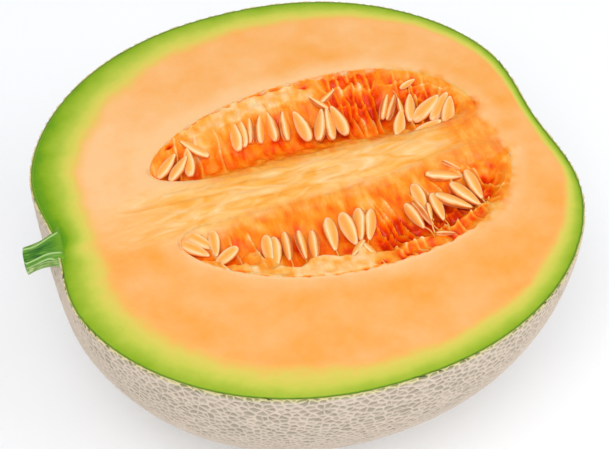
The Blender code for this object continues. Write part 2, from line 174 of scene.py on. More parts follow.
# How much paler (or darker, below 0) its outer part is there, as a share of that width.
GREEN_TONES = (
    (0, 0.05), (90, 0.0), (122, 0.0), (150, -0.16), (166, -0.28), (178, -0.14), (190, -0.02),
    (200, 0.04), (222, 0.10), (250, 0.25), (268, 0.16), (283, 0.03), (345, 0.02), (360, 0.05),
)
SKIN_DEPTH = 0.0012  # thickness of the rind piece, below the net's crests
MM = 0.001

NET_RADIUS = 0.083  # of the sphere that the net's cells are counted on
CELL_AREA = 0.866  # of a six-sided cell of width 1
NET_STRAY = 0.40  # how far a cell's site strays, as a share of the spacing of sites
NET_GAPS = 0.12  # share of sites left out, which makes some cells larger
NET_CLOSEST = 0.36  # least spacing of sites, as a share of the usual one
NET_TOP = 0.10  # height on the unit sphere up to which the net has cells
SITES_TOP = 0.18  # and up to which their neighbours' sites are kept

CAMERA_ACROSS = -20.565  # degrees round the fruit from its side
CAMERA_UP = 48.0
CAMERA_DISTANCE = 0.4455
CAMERA_LENS = 88.76
CAMERA_SENSOR = 36.0
LOOK_AT = (-0.00719, -0.01825, CUT_HEIGHT)
FLOOR_REACH = 4.0

# What is set on a kind of node unless a call says otherwise, and its output if not the first.
NODE_SETTINGS = {"Mix": {"data_type": "RGBA"}, "Math": {"operation": "MULTIPLY_ADD"}}
NODE_OUTPUTS = {"Attribute": "Fac", "Mix": 2, "SeparateXYZ": "Z", "TexCoord": "Object"}


def linear(hex_colour):
    """An sRGB hex colour as linear RGBA."""
    values = [int(hex_colour[i:i + 2], 16) / 255 for i in (1, 3, 5)]
    return (*[v / 12.92 if v <= 0.04045 else ((v + 0.055) / 1.055) ** 2.4 for v in values], 1.0)


def add_node(tree, kind, inputs=None, stops=None, **settings):
    """Adds a shader node with its socket values or links, a ramp's colour stops, and its settings.

    Returns the output that is used.
    """
    made = tree.nodes.new("ShaderNode" + kind)
    for name, value in {**NODE_SETTINGS.get(kind, {}), **settings}.items():
        setattr(made, name, value)
    for name, value in (inputs or {}).items():
        if isinstance(value, bpy.types.NodeSocket):
            tree.links.new(value, made.inputs[name])
        else:
            made.inputs[name].default_value = value
    if stops:
        elements = made.color_ramp.elements
        while len(elements) < len(stops):
            elements.new(0.5)
        for element, (place, colour) in zip(elements, stops):
            element.position = place
            element.color = linear(colour)
    return made.outputs[NODE_OUTPUTS.get(kind, 0)] if made.outputs else None


def new_material(name):
    """An empty node material, and add_node for its tree."""
    made = bpy.data.materials.new(name)
    made.use_nodes = True
    made.node_tree.nodes.clear()
    return made, partial(add_node, made.node_tree)


def shifted_share(node, noise, amount, painted, low, high, **settings):
    """A painted value shifted by some noise, as a share: 0 at low and 1 at high."""
    shifted = node("Math", {0: noise, 1: amount, 2: painted})
    return node("MapRange", {"Value": shifted, "From Min": low, "From Max": high}, **settings)


def ripple(points, wavelength, draw, count=14):
    """Smooth seeded noise, mostly between -1 and 1: plane waves in random directions, summed."""
    rng = np.random.default_rng(draw)
    ways = rng.normal(size=(count, 3))
    ways /= np.linalg.norm(ways, axis=1)[:, None]
    ways /= (wavelength * rng.uniform(0.7, 1.4, count))[:, None]
    phases = rng.uniform(0, 2 * math.pi, count)
    return np.sin(points @ ways.T * 2 * math.pi + phases).sum(1) / math.sqrt(count)


def ease(values, low, high):
    """0 below low, 1 above high and a smooth step between."""
    share = np.clip((values - low) / (high - low), 0.0, 1.0)
    return share * share * (3.0 - 2.0 * share)


def bell(values, width):
    """1 where values are 0, and falling to 0 on both sides over about a width."""
    return np.exp(-((values / width) ** 2))


def full_turn(count):
    """Even angles round a circle."""
    return np.linspace(0, 2 * math.pi, count, endpoint=False)


def tip_to_tip(count):
    """Places from -1 to 1, closer together towards both ends."""
    return np.sin(np.linspace(-math.pi / 2, math.pi / 2, count + 1))


def as_points(x, y, z):
    """Three arrays of one shape as rows of points."""
    return np.stack([x, y, z], -1).reshape(-1, 3)


def fruit_surface(directions, outward=0.0):
    """Points of the rind in directions from the centre, round two dimpled poles."""
    along = directions[:, 0]
    across = np.hypot(directions[:, 1], directions[:, 2])
    power = 2.0 / ROUNDNESS
    x = (HALF_LENGTH + outward) * np.sign(along) * np.abs(along) ** power
    radius = (HALF_WIDTH + outward) * across**power
    stem = STEM_DIMPLE_DEPTH * bell(radius, STEM_DIMPLE_RADIUS)
    blossom = BLOSSOM_DIMPLE_DEPTH * bell(radius, BLOSSOM_DIMPLE_RADIUS)
    x = x + np.where(along < 0, stem, -blossom)
    turn = np.maximum(across, 1e-12)
    return as_points(x, radius * directions[:, 1] / turn, radius * directions[:, 2] / turn)


def depth_below_rind(points):
    """How far points lie under the smooth surface at the net's crests, in metres."""
    count = 1600
    turn = np.linspace(0, math.pi, count)
    outline = fruit_surface(as_points(np.cos(turn), np.sin(turn), 0 * turn))[:, :2]
    normal = np.gradient(outline, axis=0)
    normal = np.stack([normal[:, 1], -normal[:, 0]], 1)
    normal /= np.linalg.norm(normal, axis=1)[:, None]
    tree = KDTree(count)
    for i, (x, radius) in enumerate(outline):
        tree.insert((x, radius, 0.0), i)
    tree.balance()
    radii = np.hypot(points[:, 1], points[:, 2])
    nearest = np.array([tree.find((x, radius, 0.0))[1] for x, radius in zip(points[:, 0], radii)])
    offset = np.stack([points[:, 0], radii], 1) - outline[nearest]
    return -(offset * normal[nearest]).sum(1)


def lobe_middle(along, side):
    """How far a lobe's middle line lies from the core, at a share of the way to one of its tips."""
    stem_bend = np.where(np.asarray(side) > 0, LOBE_STEM_BEND_LEFT, LOBE_STEM_BEND_RIGHT)
    bend = stem_bend + (LOBE_BLOSSOM_BEND - stem_bend) * np.maximum(along, 0.0)
    return LOBE_CENTRE_Y - bend * along**2


def lobe_swell(along):
    """How much wider than an ellipse a lobe is, at a share of the way to one of its tips."""
    along = np.clip(along, 0.0, 0.999)
    blunt = (1.0 - along**LOBE_BLUNTNESS) / (1.0 - along**2)
    return (1.0 + LOBE_SWELL * along) * np.sqrt(blunt)


def distance_from_lobe(x, y):
    """About how far a point of the cut face lies outside the nearer lobe, in metres."""
    along = (x - LOBE_CENTRE_X) / LOBE_HALF_LENGTH
    half_width = LOBE_HALF_WIDTH * lobe_swell(along)
    across = (np.abs(y) - lobe_middle(np.clip(along, -1.1, 1.1), y)) / half_width
    reach = np.sqrt(along**2 + across**2) + 1e-9
    slope = np.sqrt((along / LOBE_HALF_LENGTH) ** 2 + (across / half_width) ** 2) / reach
    return (reach - 1.0) / np.maximum(slope, 1e-6)


def core_sink(x):
    """How far the core's edge lies below the flesh, in mm: along the lobes, but not at their tips."""
    return CORE_SINK * ease(x, -40, -28) * (1 - ease(x, 34, 48))


def inner_fields(points, trim=0.0):
    """At points of the cut face: shares of core fibre, orange pulp and paleness, and the pulp's tone.

    The trim, in millimetres, keeps the orange off the outer rim of the lobes.
    """
    flat = points * [1, 1, 0]
    x, off = flat[:, 0] / MM, np.abs(flat[:, 1]) / MM
    away = distance_from_lobe(flat[:, 0], flat[:, 1]) / MM
    wander = 1.5 * ripple(flat * [0.45, 1, 1], 0.009, 7) + 0.6 * ripple(flat, 0.0032, 13)
    core = (1 - ease(off + wander, 7.0, 13.0)) * ease(x, -74, -36)
    core *= 1 - ease(x + 2 * ripple(flat, 0.012, 4), 52, 62)

    # The pulp's orange runs softly onto the core, but stops short at the outer rim.
    along = (flat[:, 0] - LOBE_CENTRE_X) / LOBE_HALF_LENGTH
    outer = off > lobe_middle(np.clip(along, -1.1, 1.1), flat[:, 1]) / MM
    soft = ease(x, -38, -22)
    fuzzy = ease(x, 34, 46)
    fringe = away + trim * (1 - fuzzy) + 1.1 * fuzzy * ripple(flat, 0.004, 17)
    near = np.where(
        outer, 1 - ease(fringe, -0.4 - 1.4 * fuzzy, 0.1 + 4.2 * fuzzy),
        1 - ease(away + 0.9 * wander, 0.0, 6.5))
    low = 12.0 - 5.8 * soft
    pulp = ease(off + wander, low - 3.5, low + 5.0) * np.where(away > 0, near * soft, 1.0)

    # Grainy pulp caps the core at the blossom end.
    end = ease(x + 2.0 * ripple(flat, 0.009, 5), 40, 52)
    end *= 1 - ease(x + 0.017 * off**2 + 1.3 * ripple(flat, 0.005, 6), 61.0, 65.0)
    end *= 1 - ease(off, 16, 21)
    pulp = np.clip(np.maximum(pulp, 0.85 * end), 0, 1)
    tone = 0.64 + 0.09 * ripple(flat, 0.006, 15) + 0.05 * ripple(flat * [1, 0.3, 1], 0.002, 16)
    tone -= 0.08 * end + 0.12 * soft * (1 - ease(away, -1.0, 4.0)) * (1 - outer)
    y = flat[:, 1] / MM
    pale = 0.90 * (1 - ease(x, -76, 0)) * (0.16 + 0.84 * ease(y, -16, 8)) * (1 - 0.5 * ease(y, 24, 50))
    pale += 0.50 * (1 - ease(away, 0.5, 9.0)) + 0.28 * ease(y, 26, 40) + 0.20 * ease(x, 56, 74)
    pale += 0.14 * ease(-y, 42, 58) + 0.4 * bell(away - 0.2, 0.9) * outer
    return core, pulp, tone, pale


def place_piece(name, points, faces, materials=(), welded=0.0):
    """A mesh object at its place in the row frame, from points about the fruit's centre."""
    mesh = bpy.data.meshes.new(name)
    raised = np.asarray(points, float) + np.array([0.0, 0.0, CUT_HEIGHT])
    mesh.from_pydata(raised.tolist(), [], faces)
    bm = bmesh.new()
    bm.from_mesh(mesh)
    if welded:
        bmesh.ops.remove_doubles(bm, verts=bm.verts, dist=welded)
        bmesh.ops.dissolve_degenerate(bm, edges=bm.edges, dist=welded)
    bm.normal_update()
    bmesh.ops.recalc_face_normals(bm, faces=bm.faces)
    bm.to_mesh(mesh)
    bm.free()
    for material in materials:
        mesh.materials.append(material)
    made = bpy.data.objects.new(name, mesh)
    melon_collection().objects.link(made)
    return made


def mesh_points(item):
    """The corners of a placed mesh, about the fruit's centre."""
    values = np.zeros(len(item.data.vertices) * 3)
    item.data.vertices.foreach_get("co", values)
    return values.reshape(-1, 3) - np.array([0.0, 0.0, CUT_HEIGHT])


def move_points(item, points):
    """Moves the corners of a placed mesh to points about the fruit's centre."""
    raised = points + np.array([0.0, 0.0, CUT_HEIGHT])
    item.data.vertices.foreach_set("co", raised.ravel())
    item.data.update()


def paint(item, **layers):
    """Stores named numbers, one for each corner, for the material to read."""
    for name, values in layers.items():
        layer = item.data.attributes.new(name, "FLOAT", "POINT")
        layer.data.foreach_set("value", np.asarray(values, np.float32))


def cut_out(item, cutters):
    """Takes each cutter's shape out of a piece, and removes the cutters."""
    for cutter in cutters:
        modifier = item.modifiers.new("cut", "BOOLEAN")
        modifier.operation = "DIFFERENCE"
        modifier.solver = "MANIFOLD"
        modifier.object = cutter
        bpy.context.view_layer.update()
        graph = bpy.context.evaluated_depsgraph_get()
        made = bpy.data.meshes.new_from_object(item.evaluated_get(graph))
        item.modifiers.clear()
        item.data = made
        bpy.data.objects.remove(cutter)


def smooth(item, angle):
    """Smooth shading, but with sharp edges where faces meet at more than an angle in degrees."""
    item.data.shade_smooth()
    item.data.set_sharp_from_angle(angle=math.radians(angle))


def finish_piece(item, slot, *nodes):
    """Hangs a piece on the root body and hides the imported nodes it stands for; the slot is not used.
    """
    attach(item, "root")
    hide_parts(*nodes)


def melon_collection():
    """The collection that holds the pieces, made at the first call."""
    found = bpy.data.collections.get("netted_melon")
    if not found:
        found = bpy.data.collections.new("netted_melon")
        bpy.context.scene.collection.children.link(found)
    return found


def ring_faces(rings, around, start=0, tips=(), capped=False):
    """Faces between closed rings of corners, then flat caps, or a fan from each end ring to a tip."""
    last = start + (rings - 1) * around
    faces = []
    for low in range(start, last, around):
        for j in range(around):
            k = (j + 1) % around
            faces.append((low + j, low + k, low + around + k, low + around + j))
    for end, tip in zip((start, last), tips):
        faces += [(end + j, end + (j + 1) % around, tip) for j in range(around)]
    if capped:
        faces += [tuple(range(end, end + around)) for end in (start, last)]
    return faces


def tube(path, radii, sides=8):
    """Points and faces of a closed round tube along a path, with one radius for each point."""
    path = np.asarray(path, float)
    way = np.gradient(path, axis=0)
    way /= np.linalg.norm(way, axis=1)[:, None]
    level = np.cross(way, [0.0, 0.0, 1.0])
    level /= np.maximum(np.linalg.norm(level, axis=1), 1e-9)[:, None]
    up = np.cross(level, way)
    turn = full_turn(sides)
    ring = level[:, None] * np.cos(turn)[None, :, None] + up[:, None] * np.sin(turn)[None, :, None]
    points = (path[:, None] + ring * np.asarray(radii)[:, None, None]).reshape(-1, 3)
    return points, ring_faces(len(path), sides, capped=True)


def curve_through(points, count):
    """A smooth line through a few points, as count points."""
    points = np.asarray(points, float)
    padded = np.vstack([2 * points[0] - points[1], points, 2 * points[-1] - points[-2]])
    places = np.linspace(0, len(points) - 1 - 1e-9, count)
    out = []
    for place in places:
        i = int(place)
        t = place - i
        a, b, c, d = padded[i:i + 4]
        out.append(0.5 * (2 * b + (c - a) * t + (2 * a - 5 * b + 4 * c - d) * t**2
                          + (3 * b - a - 3 * c + d) * t**3))
    return np.array(out)


def gather(parts):
    """Several (points, faces) as one."""
    points, faces, start = [], [], 0
    for part_points, part_faces in parts:
        points.append(part_points)
        faces.extend(tuple(i + start for i in face) for face in part_faces)
        start += len(part_points)
    return np.vstack(points), faces


def colour_setting(name, description, hex_colour):
    """A colour that the sidebar shows."""
    return bpy.props.FloatVectorProperty(
        name=name, description=description, subtype="COLOR", size=4, min=0, max=1,
        default=linear(hex_colour))


class MelonRind(bpy.types.PropertyGroup):
    cell_width: bpy.props.FloatProperty(
        name="Cell width", description="Across one cell of the net", default=0.0022,
        min=0.002, max=0.01, unit="LENGTH")
    cord_width: bpy.props.FloatProperty(
        name="Cord width", description="Across the crest of one cord of the net", default=0.0008,
        min=0.0002, max=0.003, unit="LENGTH")
    net_height: bpy.props.FloatProperty(
        name="Net height", description="How far the net stands out of the skin", default=0.0005,
        min=0.0, max=0.002, unit="LENGTH")
    cord_colour: colour_setting("Cord colour", "Dry cork of the net", "#E3D1BE")
    skin_colour: colour_setting("Skin colour", "Skin between the cords", "#B0A28F")


class MelonFlesh(bpy.types.PropertyGroup):
    flesh_colour: colour_setting("Flesh colour", "Ripe orange flesh", "#F3A03C")
    pale_colour: colour_setting("Pale flesh colour", "Flesh round the seeds", "#F5C289")
    green_share: bpy.props.FloatProperty(
        name="Green layer", description="Width of the green layer as a share of its own", default=1.0,
        min=0.3, max=2.0, subtype="FACTOR")


class MelonSeeds(bpy.types.PropertyGroup):
    fullness: bpy.props.FloatProperty(
        name="Fullness", description="Seed thickness as a share of the usual", default=1.15,
        min=0.5, max=1.5, subtype="FACTOR")
    seed_colour: colour_setting("Seed colour", "Wet coat of a seed", "#F8B460")


class MelonStage(bpy.types.PropertyGroup):
    floor_colour: colour_setting("Floor colour", "Pale studio floor", "#FAFCFF")
    soft_light: bpy.props.FloatProperty(
        name="Room light", description="Strength of the even light from all round", default=0.56,
        min=0.0, max=3.0)


def net_cells(cell_width, draw):
    """Cells of a random net on the unit sphere, as corners, and for each cell its corners in order.

    The net covers the half below the cut and a little more. It is worked out in the plane, where
    the sphere is projected from its top.
    """
    whole = int(4 * math.pi * NET_RADIUS**2 / (CELL_AREA * cell_width**2))
    spacing = math.sqrt(4 * math.pi / whole)
    rng = np.random.default_rng(draw)
    index = np.arange(whole)
    x = 1 - (2 * index + 1) / whole
    ring = np.sqrt(1 - x * x)
    golden = math.pi * (3 - math.sqrt(5))
    sites = as_points(x, ring * np.cos(index * golden), ring * np.sin(index * golden))
    sites += rng.uniform(-1, 1, sites.shape) * NET_STRAY * spacing
    sites /= np.linalg.norm(sites, axis=1)[:, None]
    bm = bmesh.new()
    for site in sites[(sites[:, 2] < SITES_TOP) & (rng.random(whole) > NET_GAPS)]:
        bm.verts.new(site)
    bmesh.ops.remove_doubles(bm, verts=bm.verts, dist=NET_CLOSEST * spacing)
    sites = np.array([vertex.co for vertex in bm.verts])
    bm.free()
    flat = sites[:, :2] / (1 - sites[:, 2:])
    found = delaunay_2d_cdt([Vector(point) for point in flat], [], [], 0, 1e-9)
    flat = np.array([tuple(point) for point in found[0]])
    square = (flat**2).sum(1)
    sites = as_points(2 * flat[:, 0], 2 * flat[:, 1], square - 1) / (1 + square)[:, None]
    faces = np.array(found[2])
    first, second, third = sites[faces[:, 0]], sites[faces[:, 1]], sites[faces[:, 2]]
    corners = np.cross(second - first, third - first)
    corners /= np.linalg.norm(corners, axis=1)[:, None]
    corners *= np.sign((corners * first).sum(1))[:, None]
    middles = flat[faces].mean(1)
    touching = [[] for _ in sites]
    for i, face in enumerate(faces):
        for site in face:
            touching[site].append(i)
    cells = []
    for place, height, near in zip(flat, sites[:, 2], touching):
        if height < NET_TOP:
            turn = np.arctan2(*(middles[near] - place).T)
            cells.append([near[i] for i in np.argsort(turn)])
    return corners, cells


def netted_shell(settings):
    """The outside of the rind: each cell sinks from the crests round it to a floor of skin."""
    corners, cells = net_cells(settings.cell_width, 11)
    rng = np.random.default_rng(12)
    crest = fruit_surface(corners)
    crest_drop = rng.uniform(0.0, 0.22, len(corners)) * settings.net_height
    outward = crest / np.linalg.norm(crest, axis=1)[:, None]
    crest = crest - outward * crest_drop[:, None]
    points = [crest]
    faces = []
    start = len(crest)
    for cell in cells:
        if len(cell) < 3:
            continue
        rim = crest[cell]
        middle = rim.mean(0)
        inward = -middle / np.linalg.norm(middle)
        reach = np.linalg.norm(rim - middle, axis=1)
        cord = settings.cord_width * rng.uniform(0.7, 1.35) / 2
        floor = settings.net_height * rng.uniform(0.55, 1.0)
        deep = np.minimum((cord + 0.00020) / reach, 0.72)[:, None]
        inner = (rim - middle) * (1 - deep)
        lengthwise = np.cross(inward, np.cross([1.0, 0.0, 0.0], inward))
        lengthwise /= np.linalg.norm(lengthwise)
        along = (inner @ lengthwise)[:, None] * lengthwise
        bottom = middle + along * rng.uniform(0.9, 1.0) + (inner - along) * rng.uniform(0.35, 0.85)
        bottom = bottom + inward * floor * 0.92
        count = len(cell)
        points += [bottom, (middle + inward * floor)[None]]
        for i in range(count):
            j = (i + 1) % count
            faces.append((cell[i], cell[j], start + j, start + i))
            faces.append((start + i, start + j, start + count))
        start += count + 1
    return np.vstack(points), faces


def ellipsoid_of_fruit(outward, columns, rows):
    """The whole smooth fruit at a depth, as a closed mesh."""
    turn = np.linspace(0, math.pi, rows + 1)[1:-1]
    round_ = full_turn(columns)
    t, r = np.meshgrid(turn, round_, indexing="ij")
    directions = as_points(np.cos(t), np.sin(t) * np.cos(r), np.sin(t) * np.sin(r))
    directions = np.vstack([directions, [[1, 0, 0], [-1, 0, 0]]])
    points = fruit_surface(directions, outward)
    return points, ring_faces(rows - 1, columns, tips=(len(points) - 2, len(points) - 1))


def ordered_loops(edges):
    """Corners of each closed loop that the edges make, in order round it, longest loop first."""
    left = set(edges)
    loops = []
    while left:
        edge = left.pop()
        first, corner = edge.verts
        loop = [first]
        while corner != first:
            loop.append(corner)
            edge = next(other for other in corner.link_edges if other in left)
            left.discard(edge)
            corner = edge.other_vert(corner)
        loops.append(loop)
    return sorted(loops, key=len, reverse=True)


def join_rims(bm, outer, inner):
    """Joins two level loops round the centre with triangles, in step with their angle."""
    tracks = []
    for loop in (outer, inner):
        angles = np.unwrap([math.atan2(corner.co.y, corner.co.x) for corner in loop])
        if angles[-1] < angles[0]:
            loop = loop[::-1]
            angles = angles[::-1]
        start = int(np.argmin(np.mod(angles, 2 * math.pi)))
        loop = loop[start:] + loop[:start + 1]
        angles = np.unwrap([math.atan2(corner.co.y, corner.co.x) for corner in loop])
        tracks.append((loop, angles - 2 * math.pi * round(angles[0] / (2 * math.pi))))
    (outer, far), (inner, near) = tracks
    i = j = 0
    while i < len(outer) - 1 or j < len(inner) - 1:
        if j == len(inner) - 1 or (i < len(outer) - 1 and far[i + 1] <= near[j + 1]):
            bm.faces.new((outer[i], outer[i + 1], inner[j]))
            i += 1
        else:
            bm.faces.new((outer[i], inner[j + 1], inner[j]))
            j += 1


def rind_below_cut(settings):
    """The netted outside and smooth inside of the rind, both cut off level and joined by a rim."""
    bm = bmesh.new()
    for points, faces in (netted_shell(settings), ellipsoid_of_fruit(-SKIN_DEPTH, 120, 60)):
        corners = [bm.verts.new(point) for point in points]
        for face in faces:
            bm.faces.new([corners[i] for i in face])
    everything = bm.verts[:] + bm.edges[:] + bm.faces[:]
    bmesh.ops.bisect_plane(
        bm, geom=everything, dist=1e-7, plane_co=(0, 0, 0), plane_no=(0, 0, 1), clear_outer=True)
    loose = [corner for corner in bm.verts if not corner.link_faces]
    bmesh.ops.delete(bm, geom=loose, context="VERTS")
    loops = ordered_loops(edge for edge in bm.edges if edge.is_boundary)
    join_rims(bm, loops[0], loops[1])
    for loop in loops[2:]:
        bm.faces.new(loop)
    bm.verts.index_update()
    points = np.array([vertex.co for vertex in bm.verts])
    faces = [tuple(vertex.index for vertex in face.verts) for face in bm.faces]
    bm.free()
    return points, faces


def rind_material(settings):
    """Muskmelon rind, grown: dry cork cords that scatter light evenly, over a waxier grey-green skin."""
    made, node = new_material("corky_net_rind")
    place = node("TexCoord")
    depth = node("Attribute", attribute_name="depth")
    # Patches about 12 mm across, where the cork is greyer or warmer.
    patch = node("TexNoise", {"Vector": place, "Scale": 80.0, "Detail": 2.0})
    # Grain of the cork, about 0.4 mm.
    grain = node("TexNoise", {"Vector": place, "Scale": 2400.0, "Detail": 3.0, "Roughness": 0.6})
    dry_cord = node("Mix", {"Factor": patch, 6: linear("#D2C2B2"), 7: settings.cord_colour})
    dry_skin = node("Mix", {"Factor": patch, 6: linear("#9E9784"), 7: settings.skin_colour})
    # Juice from the cut has soaked the top 1.5 mm of the net: creamier cords, greener skin.
    height = node("SeparateXYZ", {0: place})
    soaked = node("MapRange", {
        "Value": height, "From Min": CUT_HEIGHT - 0.0016, "From Max": CUT_HEIGHT - 0.0004,
        "To Max": 0.75}, interpolation_type="SMOOTHSTEP")
    cord = node("Mix", {"Factor": soaked, 6: dry_cord, 7: linear("#E2D996")})
    skin = node("Mix", {"Factor": soaked, 6: dry_skin, 7: linear("#6F7C30")})
    share = shifted_share(node, grain, 0.36, depth, 0.27, 0.66, interpolation_type="SMOOTHSTEP")
    colour = node("Mix", {"Factor": share, 6: cord, 7: skin})
    bump = node("Bump", {"Height": grain, "Strength": 0.5, "Distance": 0.00025})
    shader = node("BsdfPrincipled", {
        "Base Color": colour, "Roughness": 0.78, "IOR": 1.45, "Specular IOR Level": 0.35,
        "Normal": bump})
    node("OutputMaterial", {"Surface": shader})
    return made


def rind_edge_material():
    """The same rind where the knife went through: pale cork, then moist dark green skin."""
    made, node = new_material("cut_rind_edge")
    place = node("TexCoord")
    depth = node("Attribute", attribute_name="depth")
    grain = node("TexNoise", {"Vector": place, "Scale": 900.0, "Detail": 2.0})
    colour = node("ValToRGB", {"Fac": shifted_share(node, grain, 0.4, depth, 0.1, 1.5)}, [
        (0.0, "#E0D2B0"), (0.34, "#D4C890"), (0.46, "#A8A450"), (0.58, "#5E7A1E"), (0.74, "#5E8418"),
        (0.90, "#7CA41E"), (1.0, "#8AB226")])
    shader = node("BsdfPrincipled", {"Base Color": colour, "Roughness": 0.5, "IOR": 1.4})
    node("OutputMaterial", {"Surface": shader})
    return made


class MELON_OT_rind(bpy.types.Operator):
    """Builds the thin netted rind, open at the cut"""
    bl_idname = "melon.rind"
    bl_label = "Netted rind"

    def execute(self, context):
        settings = context.scene.melon_rind
        points, faces = rind_below_cut(settings)
        materials = [rind_material(settings), rind_edge_material()]
        rind = place_piece("netted_rind", points, faces, materials)
        points = mesh_points(rind)
        depth = depth_below_rind(points)
        points[:, 2] = np.maximum(points[:, 2], -CUT_HEIGHT)
        move_points(rind, points)
        paint(rind, depth=depth / MM)
        smooth(rind, 80)
        for face in rind.data.polygons:
            if face.normal.z > 0.99 and abs(face.center.z - CUT_HEIGHT) < 1e-5:
                face.material_index = 1
                face.use_smooth = False
        finish_piece(rind, "rind", "fruit_half")
        return {"FINISHED"}


def socket_cutter(side):
    """The hollow for a seed lobe, with a wavering edge."""
    columns, around = 180, 48
    along = tip_to_tip(columns)
    turn = full_turn(around)
    u, t = np.meshgrid(along, turn, indexing="ij")
    width = np.sqrt(np.maximum(1 - u**2, 0)) * lobe_swell(u)
    waver = 1 + (0.02 * np.sin(u * 37 + side) + 0.015 * np.sin(u * 83 + 2 * side)) * (np.cos(t) > 0)
    x = LOBE_CENTRE_X + u * LOBE_HALF_LENGTH
    y = side * (lobe_middle(u, side) + np.cos(t) * width * LOBE_HALF_WIDTH * waver)
    z = np.sin(t) * width * LOBE_DEPTH
    points = as_points(x, y, z)
    return place_piece("socket", points, ring_faces(columns + 1, around), welded=1e-7)


def flesh_body():
    """The flesh inside the rind: a fine flat cut face and a plain underside."""
    spokes, rings, under = 360, 112, 24
    turn = full_turn(spokes)
    level = as_points(np.cos(turn), np.sin(turn), 0 * turn)
    gap, overlap, step = 0.0003, 0.0004, 0.00015
    outline = fruit_surface(level, -SKIN_DEPTH - 0.00005)
    edge = fruit_surface(level, -SKIN_DEPTH + overlap)
    edge[:, 2] = -step
    points = [np.zeros((1, 3))]
    for i in range(1, rings + 1):
        points.append(outline * (i / rings))
    points.append(edge)
    for i in range(1, under):
        fall = math.pi / 2 * i / under
        directions = level * math.cos(fall)
        directions[:, 2] = -math.sin(fall)
        points.append(fruit_surface(directions, -SKIN_DEPTH - gap))
    points.append(fruit_surface(np.array([[0.0, 0.0, -1.0]]), -SKIN_DEPTH - gap))
    points = np.vstack(points)
    return points, ring_faces(rings + under, spokes, start=1, tips=(0, len(points) - 1))


def inside_colour(node, place, settings):
    """Colour of flesh, core fibre and pulp, mixed as painted, so that they run into each other."""
    core, pale, pulp, tone = [
        node("Attribute", attribute_name=name) for name in ("core", "pale", "pulp", "tone")]
    # Watery clouds in the flesh, about 14 mm across.
    cloud = node("TexNoise", {"Vector": place, "Scale": 70.0, "Detail": 4.0, "Roughness": 0.6})
    flesh = node("Mix", {
        "Factor": shifted_share(node, cloud, 1.3, pale, 0.47, 1.45),
        6: settings.flesh_colour, 7: settings.pale_colour})
    # Fibres of the core run lengthwise in loose curls: about 4 mm wide and 14 mm long.
    stretched = node("Mapping", {
        "Vector": place, "Rotation": (0.0, 0.0, 0.10), "Scale": (70.0, 230.0, 150.0)})
    fibre = node("TexNoise", {
        "Vector": stretched, "Scale": 1.0, "Detail": 4.0, "Roughness": 0.52, "Distortion": 1.5})
    strand = node("ValToRGB", {"Fac": fibre}, [
        (0.26, "#F29C32"), (0.40, "#F5AE50"), (0.54, "#F6BE74"), (0.68, "#F7CB8E"),
        (0.86, "#F8E0BE")])
    inner = node("Mix", {"Factor": core, 6: flesh, 7: strand})
    # Jelly grains of the pulp, about 1.6 mm, and fine threads across the lobe, about 0.8 mm.
    grain = node("TexNoise", {"Vector": place, "Scale": 620.0, "Detail": 3.0, "Roughness": 0.6})
    thread_place = node("Mapping", {"Vector": place, "Scale": (1300.0, 220.0, 300.0)})
    thread = node("TexNoise", {"Vector": thread_place, "Scale": 1.0, "Detail": 2.0})
    both = node("Math", {0: grain, 1: thread}, operation="ADD")
    jelly = node("ValToRGB", {"Fac": shifted_share(node, both, 0.24, tone, 0.24, 1.24)}, [
        (0.0, "#D63400"), (0.15, "#EC4A00"), (0.35, "#F97804"), (0.53, "#FB921A"),
        (0.71, "#FAAC4A"), (1.0, "#F8CC94")])
    mixed = node("Mix", {"Factor": pulp, 6: inner, 7: jelly})
    return mixed, both


def flesh_material(settings):
    """Muskmelon flesh, cut with a sharp knife: wet, a little see-through, green under the skin."""
    made, node = new_material("cut_melon_flesh")
    place = node("TexCoord")
    rim = node("Attribute", attribute_name="rim")
    inside, _ = inside_colour(node, place, settings)
    # Watery scratches and specks, about 4 mm across.
    speck = node("TexNoise", {"Vector": place, "Scale": 260.0, "Detail": 4.0, "Roughness": 0.6})
    patch = node("TexNoise", {"Vector": place, "Scale": 90.0, "Detail": 3.0})
    mottled = node("Math", {0: patch, 1: 0.30, 2: rim})
    wobble = node("Math", {0: speck, 1: 0.22, 2: mottled})
    green = node("ValToRGB", {
        "Fac": node("MapRange", {"Value": wobble, "From Min": -0.30, "From Max": 1.34})}, [
        (0.0, "#3E7A12"), (0.15, "#4F8A10"), (0.27, "#6A9A10"), (0.34, "#84A818"), (0.42, "#95B22A"),
        (0.54, "#ACBE3E"), (0.66, "#C7C950"), (0.78, "#DAC95C"), (0.90, "#E9BB5C"),
        (1.0, "#F2B05E")])
    layer = node("MapRange", {
        "Value": wobble, "From Min": 1.02, "From Max": 1.46}, interpolation_type="SMOOTHSTEP")
    colour = node("Mix", {"Factor": layer, 6: green, 7: inside})
    bump = node("Bump", {"Height": speck, "Strength": 0.25, "Distance": 0.0004})
    wet = node("MapRange", {"Value": speck, "To Min": 0.42, "To Max": 0.60})
    shader = node("BsdfPrincipled", {
        "Base Color": colour, "Roughness": wet, "IOR": 1.36, "Specular IOR Level": 0.25,
        "Normal": bump, "Subsurface Weight": 0.25, "Subsurface Radius": (1.0, 0.45, 0.2),
        "Subsurface Scale": 0.003})
    node("OutputMaterial", {"Surface": shader})
    return made


